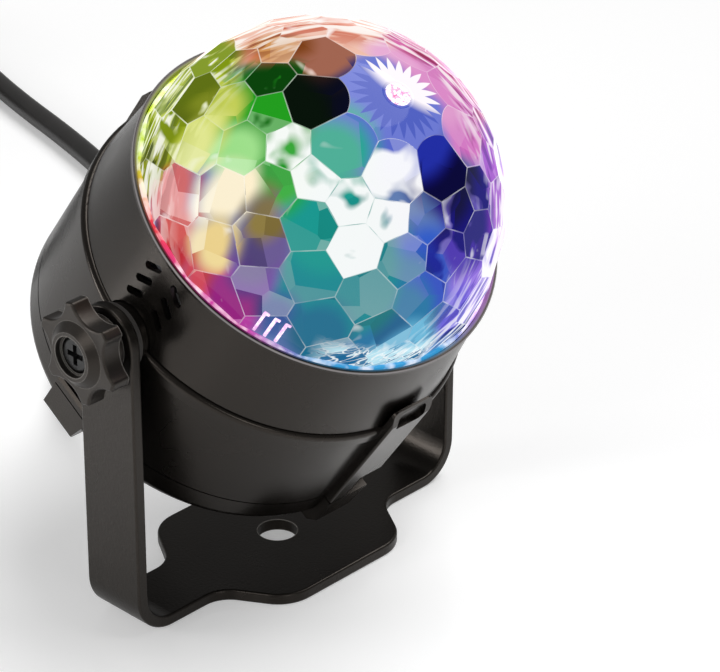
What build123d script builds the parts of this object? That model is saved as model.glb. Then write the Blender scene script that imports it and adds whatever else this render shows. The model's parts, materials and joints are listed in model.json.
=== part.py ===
from build123d import *
import os
from math import atan2, cos, degrees, pi, radians, sin, sqrt, tan

os.makedirs("parts", exist_ok=True)

# LED disco ball light: a short drum of black plastic with a clear faceted dome, clamped by two
# star knobs in a U-shaped steel bracket that stands on a table or is screwed to a wall.
# Millimetres, +Z up. X is the pivot's axis, and the dome looks towards -Y and up.
# The origin is the centre of the hole in the bracket's base, on the surface that it stands on.
# Pieces of the head are drawn about the head's own axis: there X stays X, Y points up the back
# of the head and Z runs out through the dome. Places along it are measured from the pivot.

# Clearances, and how far a cutting tool runs past a face
part_gap = 0.3
fit_gap = 0.05
overrun = 2.0

# Bracket
arm_clearance = 0.8
plate = 2.7
arm_width = 16.1
pivot_height = 69.25
bend_radius = 9.5
lobe_length = 34.6
lobe_root_length = 51.4
lobe_width = 43.6
lobe_corner_radius = 9.5
lobe_root_radius = 7.0
base_hole_radius = 4.45
plate_round = 0.55

# Head
head_tilt = 55.0
shell_wall = 1.9
shell_round = 0.6

# Pivot: washer, boss, insert and bolt, the same on both sides
washer_thickness = 1.0
washer_radius = 7.3
boss_radius = 6.6
boss_length = 9.0
insert_radius = 4.2
insert_length = 8.0
bolt_radius = 2.95
bolt_length = 17.0
bolt_head_radius = 3.8
bolt_head_height = 2.2
cross_width = 1.2
cross_length = 4.6
cross_depth = 1.4

# Star knob
knob_radius = 11.3
knob_head = 4.4
knob_lobes = 6
knob_turn = 40.0
scallop_radius = 6.5
scallop_depth = 2.9
knob_collar_radius = 6.4
knob_collar_length = 2.9
knob_hub_radius = 8.0
knob_hub_top_radius = 5.4
knob_hub_rise = 1.7
knob_recess_radius = 4.5
knob_recess_depth = 3.6
knob_ring_width = 0.5
knob_tip_round = 0.8
knob_round = 0.6

# Dome
dome_radius = 40.0
dome_centre = 21.5
dome_wall = 2.4
dome_skirt = 2.4
facet_columns = 18
facet_rings = 6
first_ring_angle = 25.5
ring_angle = 12.25
facet_turn = 4.3
cap_angle = 22.0
dome_boss_radius = 6.2
dome_boss_length = 8.0
flute_count = 18
flute_root_radius = 6.9
flute_tip_radius = 12.4
flute_depth = 0.7
prong_groups = 4
prongs_in_group = 3
prong_angle = 6.0
prong_turn = -147.5
prong_width = 1.3
prong_depth = 1.6
prong_length = 7.0

# Front shell, round the dome
front_end = 22.9
lip_rise = 0.5
lip_length = 1.5
lip_chamfer = 0.6
rim_wall = 0.75
front_taper = 2.2
mouth_depth = 4.0
spigot_length = 4.9
spigot_wall = 1.3
post_radius = 2.9
post_inset = 3.35
post_web_width = 2.4
post_web_rise = 0.95
corner_count = 4
corner_angle = 45.0

# Vent slots, a chevron on each side of the front shell
slot_rows = 3
slot_pitch = 4.2
slot_first = 19.2
slot_inner_offset = 1.9
slot_run = 3.9
slot_fall = 2.8
slot_width = 1.7

# Rear shell with its bead
bead_rise = 0.6
bead_front = 1.6
bead_width = 3.6
groove_width = 0.35
rear_step = 0.4
rear_end = -26.5
rear_post_radius = 3.4
rear_post_inset = 3.0
rear_post_length = 12.0

# Straps along the shells and the feet behind them
strap_width = 11.6
strap_rise = 1.8
strap_front = 8.4
strap_ramp = 3.8
strap_ramp_fall = 1.4
side_strap_front = -24.5
side_strap_nose = 0.6
strap_round = 0.5
pocket_front = 7.6
pocket_length = 4.6
pocket_width = 8.2
pocket_depth = 1.1
pocket_round = 1.4
window_front = -19.0
window_edge = -1.1
window_depth = 1.9
foot_reach = 2.4
foot_fall = 2.0
foot_depth = 3.0
foot_taper = 2.6

# Back cover
cover_end = -33.9
cover_wall = 2.0
cover_round = 2.6
cover_spigot = 3.0
cover_pad = 2.0
vent_rows = 5
vent_pitch = 4.6
vent_width = 1.9
vent_length = 24.0
vent_middle = -17.0

# Screws of the shells and boards
screw_radius = 1.3
screw_length = 6.0
screw_head_radius = 2.6
screw_head_height = 1.6
screw_head_clearance = 0.4

# Chassis plate, LED board, LEDs and lenses
chassis_clearance = 0.75
chassis_back = 7.2
chassis_thickness = 2.0
chassis_hole_radius = 6.0
board_thickness = 1.6
led_board_margin = 9.5
tower_to_holder = 1.35
led_count = 3
led_turn = 90.0
led_size = 7.0
led_base_height = 1.2
led_lens_radius = 2.6
lens_small_radius = 3.9
lens_large_radius = 7.8
lens_height = 6.4
lens_cup_radius = 3.0
holder_wall = 1.2
wire_hole_radius = 3.4
wire_hole_turn = 150.0

# Baffle that closes the drum under the dome
baffle_front = 18.4
baffle_thickness = 1.6
baffle_clearance = 0.45

# Motor tower in the middle of the dome
tower_radius = 13.6
tower_wall = 1.5
tower_top = 35.5
tower_round = 1.2
motor_radius = 10.0
motor_back = 10.6
gearbox_clearance = 0.4
gearbox_back = 23.0
bush_radius = 3.8
bush_rise = 1.4
shaft_radius = 1.5
shaft_back = 26.0
shaft_end_depth = 7.5
hub_radius = 3.9
hub_length = 9.8
pole_screw_radius = 1.2
pole_screw_length = 5.4
pole_screw_head_radius = 2.7
pole_screw_head_height = 1.3
tower_screw_circle = 8.4
tower_screw_radius = 1.0
tower_screw_length = 3.6
tower_screw_head_radius = 1.9
tower_screw_head_height = 1.1

# Sensors on the LED board
sensor_offset = 1.0
microphone_turn = 30.0
microphone_radius = 3.0
microphone_height = 7.4
receiver_turn = 270.0
receiver_width = 6.4
receiver_depth = 4.4
receiver_height = 6.6
receiver_eye_radius = 2.0

# Control board behind the chassis plate
control_radius = 30.0
control_front = -5.6
standoff_radius = 2.5
standoff_circle = 26.0
chip_length = 9.0
chip_width = 6.0
chip_height = 1.6
chip_spread = 13.0

# Power board on posts of the back cover
power_width = 44.0
power_height = 37.0
power_middle = -8.5
power_back = -24.6
power_post_radius = 2.6
power_post_inset = 3.6
transformer_width = 16.0
transformer_depth = 14.0
transformer_height = 11.0
transformer_side = -11.0
transformer_rise = -14.0
bobbin_wall = 2.0
capacitor_radius = 4.0
capacitor_height = 10.0
capacitor_side = 5.0
capacitor_pitch = 9.4
capacitor_rise = -17.0
fuse_radius = 2.4
fuse_length = 13.0
fuse_cap_length = 3.0
fuse_side = 12.0
fuse_rise = -5.0
terminal_width = 11.0
terminal_depth = 7.0
terminal_height = 7.5
terminal_rise = 4.0

# Mains lead with its strain relief and clamp
lead_diameter = 6.2
lead_rise = 20.0
relief_length = 23.0
relief_base_radius = 5.6
relief_tip_radius = 4.2
relief_neck_radius = 5.0
relief_flange_radius = 7.0
relief_flange = 1.6
relief_ribs = 5
relief_rib_pitch = 3.4
relief_groove = 1.5
relief_groove_depth = 0.8
tail_end = -21.0
clamp_width = 25.0
clamp_depth = 8.6
clamp_thickness = 4.0
clamp_back = -28.4
clamp_post_radius = 2.3
clamp_post_side = 9.8
wire_radius = 0.8
wire_side = 1.6
wire_reach = 4.0
wire_bend = 3.0

# The lead's corners behind the light, chosen by hand, between the strain relief and the coil
lead_corners = [
    (1.6, 64.4, 14.4),
    (5.6, 73.4, 7.8),
    (12.6, 83.6, 4.2),
    (23.0, 94.6, 3.1),
    (38.0, 106.0, 3.1),
    (58.0, 118.0, 3.1),
    (79.0, 134.0, 3.1),
    (95.0, 155.5, 3.1),
    (104.0, 184.0, 3.1),
    (112.6, 221.0, 3.1),
]
lead_first_run = 13.0
bend_share = 0.45

# Coil of spare lead, its tie and the plug
coil_x = 84.0
coil_y = 276.0
coil_radius = 37.4
coil_pitch = 6.9
coil_lift = 0.9
coil_approach = 26.0
coil_in_turns = 1.4
coil_climb_turns = 0.5
coil_leave_turns = 0.5
coil_drop_turns = 0.3
coil_turns = 3.5
coil_end_radius = 47.0
turn_steps = 4
coil_samples = 24
tie_thickness = 0.5
tie_width = 8.0
tie_reach = 0.9
plug_length = 34.0
plug_width = 35.0
plug_neck_width = 20.0
plug_thickness = 14.0
plug_round = 3.0
plug_relief_length = 20.0
plug_relief_radius = 5.2
pin_radius = 2.0
pin_length = 19.0
pin_spacing = 18.6

# Places that follow from the sizes above
mouth_radius = dome_radius + part_gap + fit_gap
front_small_radius = mouth_radius + rim_wall
front_large_radius = front_small_radius + front_taper
lip_radius = front_small_radius + lip_rise
rear_radius = front_large_radius + rear_step
bead_radius = rear_radius + bead_rise
strap_radius = rear_radius + strap_rise
arm_inner = strap_radius + arm_clearance
arm_outer = arm_inner + plate
bracket_span = 2 * arm_outer
boss_face = arm_inner - part_gap - washer_thickness
knob_face = arm_outer + part_gap
star_back = knob_face + knob_collar_length
star_front = star_back + knob_head
hub_front = star_front + knob_hub_rise
recess_floor = hub_front - knob_recess_depth
front_back = bead_front + groove_width
front_inner_radius = front_large_radius - shell_wall
rear_inner_radius = rear_radius - shell_wall
post_circle = mouth_radius - post_inset
post_web_reach = mouth_radius + post_web_rise
rear_post_circle = rear_inner_radius - rear_post_inset
chassis_radius = mouth_radius - chassis_clearance
baffle_radius = mouth_radius - baffle_clearance
gearbox_radius = tower_radius - tower_wall - gearbox_clearance
holder_radius = lens_large_radius + fit_gap + holder_wall
led_circle = tower_radius + tower_to_holder + holder_radius
led_board_radius = led_circle + led_board_margin
sensor_circle = led_circle + sensor_offset
spigot_radius = rear_inner_radius - part_gap
seam = rear_end - groove_width
cover_inside = cover_end + cover_wall
chassis_front = chassis_back + chassis_thickness
led_board_front = chassis_front + board_thickness
led_front = led_board_front + led_base_height
baffle_back = baffle_front - baffle_thickness
control_back = control_front - board_thickness
power_front = power_back + board_thickness
dome_inner_radius = dome_radius - dome_wall
dome_pole = dome_centre + dome_radius
dome_boss_back = dome_centre + dome_inner_radius - dome_boss_length
pole_screw_seat = dome_pole - pole_screw_head_height - fit_gap
hub_front_end = pole_screw_seat - dome_wall + fit_gap
hub_back = hub_front_end - hub_length
shaft_front = dome_pole - shaft_end_depth
relief_tip = cover_end - relief_length
lead_radius = lead_diameter / 2
coil_height = coil_lift + lead_radius
layer_height = coil_pitch
plug_height = plug_thickness / 2
head_place = Pos(0, 0, pivot_height) * Rot(90 - head_tilt, 0, 0)


def turned(*corners, rounds=()):
    """Solid of revolution about the head's axis, from (radius, place) corners."""
    outline = Polygon(*corners, align=None)
    for corner, radius in rounds:
        spot = Vector(*corner)
        outline = fillet(outline.vertices().sort_by_distance(spot)[0], radius)
    return revolve(Plane.XZ * outline, Axis.Z)


def rod(radius, back, front):
    """Round bar along the axis."""
    return extrude(Pos(0, 0, back) * Circle(radius), front - back)


def tube(outer, inner, back, front):
    """Round bar with a bore through it."""
    return rod(outer, back, front) - rod(inner, back - overrun, front + overrun)


def block(width, depth, back, front):
    """Bar of rectangular section along the axis."""
    return extrude(Pos(0, 0, back) * Rectangle(width, depth), front - back)


def at_angle(angle, radius):
    """Place on a circle round the axis."""
    return Rot(0, 0, angle) * Pos(radius, 0, 0)


def corner_places(radius):
    """The four places between the straps, on a circle."""
    return [at_angle(corner_angle + 360 / corner_count * k, radius) for k in range(corner_count)]


def led_place(number):
    return at_angle(led_turn + 360 / led_count * number, led_circle)


def group(pieces):
    """Separate solids that share one node."""
    return Compound(children=[solid for piece in pieces for solid in piece.solids()])


def screw(shank, length, head, head_height, seat, direction):
    """Pan-head screw whose head lies behind its seat, with its shank along the direction."""
    body = rod(shank, 0, length) + rod(head, -head_height, 0)
    body -= block(head, cross_width / 2, -head_height - overrun, -head_height / 2)
    turn = Rot(0, 0, 0) if direction > 0 else Rot(180, 0, 0)
    return Pos(0, 0, seat) * turn * body


def small_screw(seat, direction=1):
    return screw(screw_radius, screw_length, screw_head_radius, screw_head_height, seat, direction)


# Bracket

def make_bracket():
    outer = Pos(0, pivot_height / 2) * Rectangle(bracket_span, pivot_height)
    outer = fillet(outer.vertices().group_by(Axis.Y)[0], bend_radius)
    inner = Pos(0, plate + pivot_height / 2) * Rectangle(2 * arm_inner, pivot_height)
    inner = fillet(inner.vertices().group_by(Axis.Y)[0], bend_radius - plate)
    bracket = extrude(Plane.XZ * (outer - inner), arm_width / 2, both=True)
    for side in (-1, 1):
        middle = Pos(side * (arm_outer - plate / 2), 0, pivot_height)
        bracket += middle * Rot(0, 90, 0) * Cylinder(arm_width / 2, plate)
    bracket += make_base_lobes()
    long_edges = bracket.edges().filter_by(lambda edge: edge.length > plate + plate_round)
    bracket = fillet(long_edges, plate_round)
    bracket -= rod(base_hole_radius, -overrun, plate + overrun)
    pivot = Rot(0, 90, 0) * Cylinder(bolt_radius + fit_gap, bracket_span + overrun)
    return bracket - Pos(0, 0, pivot_height) * pivot


def vertices_at(outline, x, y):
    """The outline's corners that mirror one place in both directions."""
    return [
        v for v in outline.vertices()
        if abs(abs(v.X) - x) < fit_gap and abs(abs(v.Y) - y) < fit_gap
    ]


def make_base_lobes():
    flat = arm_outer - bend_radius
    root = lobe_root_length / 2
    tip = lobe_length / 2
    near = arm_width / 2
    far = lobe_width / 2
    outline = Polygon(
        (flat, -near), (flat, near), (root, near), (tip, far), (-tip, far), (-root, near),
        (-flat, near), (-flat, -near), (-root, -near), (-tip, -far), (tip, -far), (root, -near),
        align=None,
    )
    outline = fillet(vertices_at(outline, tip, far), lobe_corner_radius)
    outline = fillet(vertices_at(outline, root, near), lobe_root_radius)
    return extrude(outline, plate)


# Pivot pieces, drawn along +Z from the middle of the pivot

def on_left(piece):
    return Pos(0, 0, pivot_height) * Rot(0, -90, 0) * piece


def on_right(piece):
    return mirror(on_left(piece), about=Plane.YZ)


def make_washer():
    return tube(washer_radius, bolt_radius + part_gap, boss_face, boss_face + washer_thickness)


def make_insert():
    front = boss_face - part_gap
    return tube(insert_radius, bolt_radius + fit_gap, front - insert_length, front)


def make_bolt():
    head_front = recess_floor + bolt_head_height
    head = rod(bolt_head_radius, recess_floor, head_front)
    head = fillet(head.edges().group_by(Axis.Z)[-1], knob_round)
    shank = rod(bolt_radius, recess_floor - bolt_length, recess_floor)
    bar = block(cross_length, cross_width, head_front - cross_depth, head_front + overrun)
    return head + shank - bar - Rot(0, 0, 90) * bar


def make_knob():
    outline = Circle(knob_radius)
    reach = knob_radius - scallop_depth + scallop_radius
    for k in range(knob_lobes):
        outline -= at_angle(knob_turn + 360 / knob_lobes * k, reach) * Circle(scallop_radius)
    outline = fillet(outline.vertices(), knob_tip_round)
    star = extrude(Pos(0, 0, star_back) * outline, knob_head)
    star = fillet(star.edges().group_by(Axis.Z)[-1], knob_round)
    hub_back = star_front - knob_round
    hub = turned(
        (0, hub_back), (knob_hub_radius, hub_back), (knob_hub_top_radius, hub_front), (0, hub_front)
    )
    knob = star + hub + rod(knob_collar_radius, knob_face, star_back)
    knob -= rod(knob_recess_radius, recess_floor, hub_front + overrun)
    inner = knob_recess_radius - knob_ring_width
    knob += tube(knob_recess_radius, inner, recess_floor, recess_floor + bolt_head_height)
    return knob - rod(bolt_radius + fit_gap, knob_face - overrun, hub_front)


# Dome

def facet_plane(ring, column):
    """Outward direction and distance of one facet's plane, seen from the dome's centre."""
    tilt = radians(first_ring_angle + ring_angle * ring)
    turn = radians(facet_turn + 360 / facet_columns * (column + ring % 2 / 2))
    half_width = 180 / facet_columns * sin(tilt)
    corner = radians(sqrt(half_width ** 2 + (ring_angle / 2) ** 2))
    direction = Vector(sin(tilt) * cos(turn), sin(tilt) * sin(turn), cos(tilt))
    return direction, dome_radius * cos(corner)


def meeting_point(first, second, third):
    """Point where three planes meet, each given as direction and distance."""
    (n1, d1), (n2, d2), (n3, d3) = first, second, third
    total = n2.cross(n3) * d1 + n3.cross(n1) * d2 + n1.cross(n2) * d3
    return total * (1 / n1.dot(n2.cross(n3)))


def make_facet(ring, column):
    """One facet, between its neighbours in the same ring and in the rings above and below."""
    own = facet_plane(ring, column)
    shift = ring % 2
    below = [(Vector(0, 0, -1), dome_skirt)]
    if ring < facet_rings - 1:
        below = [facet_plane(ring + 1, column + shift), facet_plane(ring + 1, column - 1 + shift)]
    above = []
    if ring > 0:
        above = [facet_plane(ring - 1, column - 1 + shift), facet_plane(ring - 1, column + shift)]
    around = [facet_plane(ring, column + 1), *below, facet_plane(ring, column - 1), *above]
    corners = [meeting_point(own, a, b) for a, b in zip(around, around[1:] + around[:1])]
    return Face(Wire.make_polygon(corners))


def make_faceted_body():
    faces = [make_facet(r, c) for r in range(facet_rings) for c in range(facet_columns)]
    last = facet_rings - 1
    skirt_plane = (Vector(0, 0, -1), dome_skirt)
    rim = [
        meeting_point(facet_plane(last, c), facet_plane(last, c + 1), skirt_plane)
        for c in range(facet_columns)
    ]
    faces.append(Face(Wire.make_polygon(rim)))
    body = Solid(Shell(faces))
    # The pole is a smooth round cap, which the first ring of facets cuts into petals
    above_cap = dome_radius * cos(radians(cap_angle))
    cap_tool = rod(dome_radius * sin(radians(cap_angle)), above_cap, 2 * dome_radius)
    return body - (cap_tool - Sphere(dome_radius))


def flute_star():
    """Star-shaped recess round the pole, on the inside."""
    points = []
    for k in range(2 * flute_count):
        reach = flute_tip_radius if k % 2 else flute_root_radius
        turn = radians(180 / flute_count * k)
        points.append((reach * cos(turn), reach * sin(turn)))
    star = extrude(Polygon(*points, align=None), dome_radius)
    star -= rod(dome_boss_radius, 0, dome_radius)
    return star & Sphere(dome_inner_radius + flute_depth)


def make_dome():
    dome = make_faceted_body() - Sphere(dome_inner_radius) - flute_star()
    top = dome_radius - dome_wall / 2
    dome += rod(dome_boss_radius, dome_boss_back - dome_centre, top)
    for number in range(prong_groups):
        for k in range(prongs_in_group):
            turn = prong_turn + 360 / prong_groups * number
            turn += prong_angle * (k - (prongs_in_group - 1) / 2)
            prong = block(2 * prong_depth, prong_width, -dome_skirt, prong_length - dome_skirt)
            dome += at_angle(turn, dome_inner_radius - fit_gap) * prong & outer_limit()
    dome = Pos(0, 0, dome_centre) * dome
    dome -= rod(hub_radius + fit_gap, dome_boss_back - overrun, hub_front_end + fit_gap)
    dome -= rod(pole_screw_radius + fit_gap, hub_front_end, dome_pole)
    return dome - rod(pole_screw_head_radius + fit_gap, pole_screw_seat, dome_pole + overrun)


def outer_limit():
    """Ball that keeps the prongs inside the dome's own wall."""
    return Sphere(dome_inner_radius + dome_wall / 2)


def make_hub():
    hub = rod(hub_radius, hub_back, hub_front_end)
    hub -= rod(shaft_radius, hub_back - overrun, shaft_front)
    return hub - rod(pole_screw_radius, shaft_front, hub_front_end + overrun)


def make_pole_screw():
    return screw(
        pole_screw_radius, pole_screw_length, pole_screw_head_radius,
        pole_screw_head_height, pole_screw_seat, -1,
    )


# Shells

def make_front_shell():
    lip_back = front_end - lip_length
    spigot_back = front_back - spigot_length
    shell = turned(
        (front_large_radius, front_back),
        (front_small_radius, lip_back),
        (lip_radius, lip_back + lip_radius - front_small_radius),
        (lip_radius, front_end - lip_chamfer / 2),
        (lip_radius - lip_chamfer / 2, front_end),
        (mouth_radius + lip_chamfer / 2, front_end),
        (mouth_radius, front_end - lip_chamfer),
        (mouth_radius, front_end - mouth_depth),
        (front_inner_radius, front_back + spigot_wall),
        (spigot_radius - spigot_wall, front_back),
        (spigot_radius - spigot_wall, spigot_back),
        (spigot_radius, spigot_back),
        (spigot_radius, front_back),
    )
    post = rod(post_radius, chassis_front, baffle_back)
    hole = rod(screw_radius, chassis_front - overrun, chassis_front + screw_length - part_gap)
    web_length = post_web_reach - post_circle
    web = Pos(web_length / 2, 0, 0) * block(web_length, post_web_width, chassis_front, baffle_back)
    for place in corner_places(post_circle):
        shell += place * (post + web)
        shell -= place * hole
    shell -= Rot(0, 90, 0) * Cylinder(boss_radius + part_gap, 2 * (boss_face + overrun))
    return shell - vent_slots()


def vent_slots():
    length = sqrt(slot_run ** 2 + slot_fall ** 2)
    slope = degrees(atan2(slot_run, slot_fall))
    tool = extrude(SlotOverall(length, slot_width), 2 * shell_wall + overrun)
    slots = []
    for side in (0, 180):
        for row in range(slot_rows):
            place = slot_first - slot_pitch * row - slot_fall / 2
            for hand in (-1, 1):
                offset = hand * (slot_inner_offset + slot_run / 2)
                start = Pos(front_inner_radius - shell_wall, offset, place)
                slots.append(Rot(0, 0, side) * start * Rot(0, 90, 0) * Rot(0, 0, hand * slope) * tool)
    return slots


def strap_profile(*corners):
    """Rib on the -Y side of the head, from (distance, place) corners, as wide as a strap."""
    outline = Polygon(*[(-distance, place) for distance, place in corners], align=None)
    return extrude(Plane.YZ * outline, strap_width / 2, both=True)


def make_strap():
    """Strap that runs from the seam over the bead and lies above the front shell."""
    root = rear_inner_radius + part_gap
    bridge = front_large_radius + part_gap
    strap = strap_profile(
        (root, rear_end), (strap_radius, rear_end), (strap_radius, strap_front - strap_ramp),
        (strap_radius - strap_ramp_fall, strap_front), (bridge, strap_front),
        (bridge, bead_front), (root, bead_front),
    )
    long_edges = strap.edges().filter_by(Axis.Z).group_by(Axis.Y)[0]
    strap = fillet(long_edges, strap_round)
    nose_corners = strap.edges().filter_by(Axis.Y).group_by(Axis.Z)[-1]
    strap = fillet(nose_corners, strap_ramp_fall)
    pocket_middle = pocket_front - pocket_length / 2
    pocket = Pos(0, pocket_depth - strap_radius, pocket_middle) * Rot(90, 0, 0) * extrude(
        RectangleRounded(pocket_width, pocket_length, pocket_round), pocket_depth + overrun
    )
    return strap - pocket - strap_window()


def strap_window():
    """Latch window beside the seam, open to one side of the strap."""
    width = strap_width / 2 - window_edge + overrun
    length = window_front - rear_end + overrun
    middle = Pos(window_edge + width / 2, -strap_radius, window_front - length / 2)
    return middle * Box(width, 2 * window_depth, length)


def make_side_strap():
    root = rear_inner_radius + part_gap
    return Rot(0, 0, 90) * strap_profile(
        (root, rear_end), (strap_radius, rear_end),
        (strap_radius, side_strap_front - side_strap_nose),
        (strap_radius - side_strap_nose, side_strap_front), (root, side_strap_front),
    )


def make_rear_shell():
    bead_back = bead_front - bead_width
    shell = turned(
        (rear_inner_radius, rear_end), (rear_radius, rear_end), (rear_radius, bead_back),
        (bead_radius, bead_back), (bead_radius, bead_front), (rear_inner_radius, bead_front),
        rounds=(((bead_radius, bead_front), bead_width / 3),),
    )
    strap = make_strap()
    side_strap = make_side_strap()
    boss = Rot(0, 90, 0) * rod(boss_radius, boss_face - boss_length, boss_face)
    post_back = cover_inside + cover_pad
    post = rod(rear_post_radius, post_back, post_back + rear_post_length)
    hole = rod(screw_radius, post_back - overrun, post_back + screw_length - cover_pad)
    for turn in (0, 180):
        half_turn = Rot(0, 0, turn)
        shell += half_turn * strap
        shell += half_turn * side_strap
        shell += half_turn * boss
    for place in corner_places(rear_post_circle):
        shell += place * post
        shell -= place * hole
    shell -= rod(rear_radius, rear_end - overrun - rear_post_length, rear_end) - rod(
        rear_inner_radius - part_gap, rear_end - overrun - rear_post_length, rear_end
    )
    bore = Rot(0, 90, 0) * Cylinder(insert_radius + fit_gap, 2 * (boss_face + overrun))
    return shell - bore


def make_foot():
    """End of a strap on the back cover, which reaches behind it and narrows inwards."""
    root = rear_inner_radius + part_gap
    inner = rear_radius - foot_depth
    end = cover_end - foot_reach
    foot = strap_profile(
        (root, seam), (strap_radius, seam), (strap_radius, cover_end),
        (strap_radius - foot_fall, end), (inner, end), (inner, cover_inside), (root, cover_inside),
    )
    narrow = strap_width / 2 - foot_taper
    for side in (-1, 1):
        foot -= extrude(
            Plane.XZ * Polygon(
                (side * strap_width, seam), (side * strap_width / 2, seam),
                (side * narrow, end - overrun), (side * strap_width, end - overrun), align=None,
            ),
            strap_radius + overrun,
        )
    return foot


def make_back_cover():
    cover = turned(
        (0, cover_end), (rear_radius, cover_end), (rear_radius, seam),
        (spigot_radius, seam), (spigot_radius, seam + cover_spigot),
        (spigot_radius - spigot_wall, seam + cover_spigot),
        (spigot_radius - spigot_wall, cover_inside), (0, cover_inside),
        rounds=(((rear_radius, cover_end), cover_round),),
    )
    for quarter in range(corner_count):
        cover += Rot(0, 0, 360 / corner_count * quarter) * make_foot()
    post = rod(rear_post_radius + part_gap, cover_inside + cover_pad, seam + cover_spigot + overrun)
    pad = rod(rear_post_radius, cover_inside - cover_wall / 2, cover_inside + cover_pad)
    seat = cover_end + screw_head_height + screw_head_clearance
    recess = rod(screw_head_radius + screw_head_clearance, cover_end - overrun, seat)
    hole = rod(screw_radius + fit_gap, cover_end, cover_inside + cover_pad + overrun)
    for place in corner_places(rear_post_circle):
        cover -= place * post
        cover += place * pad
        cover -= place * recess
        cover -= place * hole
    power_post = rod(power_post_radius, cover_inside, power_back)
    power_hole = rod(screw_radius, cover_inside, power_back + overrun)
    for place in power_places():
        cover += place * power_post
        cover -= place * power_hole
    clamp_post = rod(clamp_post_radius, cover_inside, clamp_back)
    clamp_hole = rod(screw_radius, clamp_back + clamp_thickness - screw_length, clamp_back + overrun)
    for place in clamp_places():
        cover += place * clamp_post
        cover -= place * clamp_hole
    cover -= Pos(0, lead_rise, 0) * rod(
        relief_neck_radius + fit_gap, cover_end - overrun, cover_inside + overrun
    )
    return cover - cover_vents()


def cover_vents():
    slot = extrude(SlotOverall(vent_length, vent_width), cover_wall + 2 * overrun)
    first = vent_middle - vent_pitch * (vent_rows - 1) / 2
    return [
        Pos(0, first + vent_pitch * row, cover_end - overrun) * slot for row in range(vent_rows)
    ]


def power_places():
    """Corners of the power board, where its posts and screws are."""
    x = power_width / 2 - power_post_inset
    y = power_height / 2 - power_post_inset
    return [Pos(i * x, power_middle + j * y, 0) for i in (-1, 1) for j in (-1, 1)]


def clamp_places():
    return [Pos(side * clamp_post_side, lead_rise, 0) for side in (-1, 1)]


# Inside the drum

def make_chassis_plate():
    chassis = tube(chassis_radius, chassis_hole_radius, chassis_back, chassis_front)
    hole = rod(screw_radius + fit_gap, chassis_back - overrun, chassis_front + overrun)
    for place in corner_places(post_circle) + corner_places(standoff_circle):
        chassis -= place * hole
    wires = rod(wire_hole_radius, chassis_back - overrun, chassis_front + overrun)
    return chassis - at_angle(wire_hole_turn, led_circle) * wires


def make_led_board():
    bore = tower_radius + part_gap
    board = tube(led_board_radius, bore, chassis_front, led_board_front)
    hole = rod(screw_head_radius + part_gap, chassis_front - overrun, led_board_front + overrun)
    for place in corner_places(standoff_circle):
        board -= place * hole
    return board


def make_led(number):
    base = block(led_size, led_size, led_board_front, led_front)
    bead = Pos(0, 0, led_front) * Sphere(led_lens_radius)
    bead &= rod(led_lens_radius + overrun, led_front - overrun / 2, led_front + led_lens_radius)
    return led_place(number) * (base + bead - rod(led_size, led_front - overrun, led_board_front))


def make_lens(number):
    back = led_front + part_gap
    lens = turned(
        (0, back), (lens_small_radius, back),
        (lens_large_radius, back + lens_height), (0, back + lens_height),
    )
    return led_place(number) * (lens - Pos(0, 0, led_front) * Sphere(lens_cup_radius))


def make_lens_holder(number):
    top = led_front + part_gap + lens_height
    inner = lens_large_radius + fit_gap
    holder = tube(holder_radius, inner, led_board_front, top)
    step = led_front + part_gap
    square = led_size * sqrt(2) / 2 + part_gap
    holder += tube(inner + fit_gap, square, led_board_front, step)
    return led_place(number) * holder


def make_baffle():
    baffle = tube(baffle_radius, tower_radius + part_gap, baffle_back, baffle_front)
    lens_hole = rod(holder_radius + part_gap, baffle_back - overrun, baffle_front + overrun)
    for number in range(led_count):
        baffle -= led_place(number) * lens_hole
    microphone = rod(microphone_radius + part_gap, baffle_back - overrun, baffle_front + overrun)
    receiver = block(
        receiver_depth + 2 * part_gap, receiver_width + 2 * part_gap,
        baffle_back - overrun, baffle_front + overrun,
    )
    baffle -= at_angle(microphone_turn, sensor_circle) * microphone
    return baffle - at_angle(receiver_turn, sensor_circle) * receiver


def make_microphone():
    body = rod(microphone_radius, led_board_front, led_board_front + microphone_height)
    return at_angle(microphone_turn, sensor_circle) * body


def make_ir_receiver():
    body = block(
        receiver_depth, receiver_width, led_board_front, led_board_front + receiver_height
    )
    eye = Pos(0, 0, led_board_front + receiver_height) * Sphere(receiver_eye_radius)
    return at_angle(receiver_turn, sensor_circle) * (body + eye)


def make_tower():
    tower = rod(tower_radius, chassis_front, tower_top)
    tower = fillet(tower.edges().group_by(Axis.Z)[-1], tower_round)
    tower -= rod(tower_radius - tower_wall, chassis_front - overrun, tower_top - tower_wall)
    tower -= rod(bush_radius + part_gap, chassis_front, tower_top + overrun)
    hole = rod(tower_screw_radius + fit_gap, gearbox_back, tower_top + overrun)
    for side in (-1, 1):
        tower -= Pos(side * tower_screw_circle, 0, 0) * hole
    return tower


def make_gearbox():
    front = tower_top - tower_wall - fit_gap
    gearbox = rod(gearbox_radius, gearbox_back, front)
    gearbox += rod(bush_radius, front, tower_top + bush_rise)
    gearbox -= rod(shaft_radius + fit_gap, shaft_back - part_gap, tower_top + bush_rise + overrun)
    hole = rod(tower_screw_radius, tower_top - tower_screw_length - part_gap, front + overrun)
    for side in (-1, 1):
        gearbox -= Pos(side * tower_screw_circle, 0, 0) * hole
    return gearbox


def make_tower_screws():
    one = screw(
        tower_screw_radius, tower_screw_length, tower_screw_head_radius,
        tower_screw_head_height, tower_top, -1,
    )
    return group([Pos(side * tower_screw_circle, 0, 0) * one for side in (-1, 1)])


def make_motor():
    can = rod(motor_radius, motor_back, gearbox_back)
    can = fillet(can.edges().group_by(Axis.Z)[0], tower_round)
    return can


def make_standoffs():
    one = tube(standoff_radius, screw_radius, control_front, chassis_back)
    return group([place * one for place in corner_places(standoff_circle)])


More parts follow.
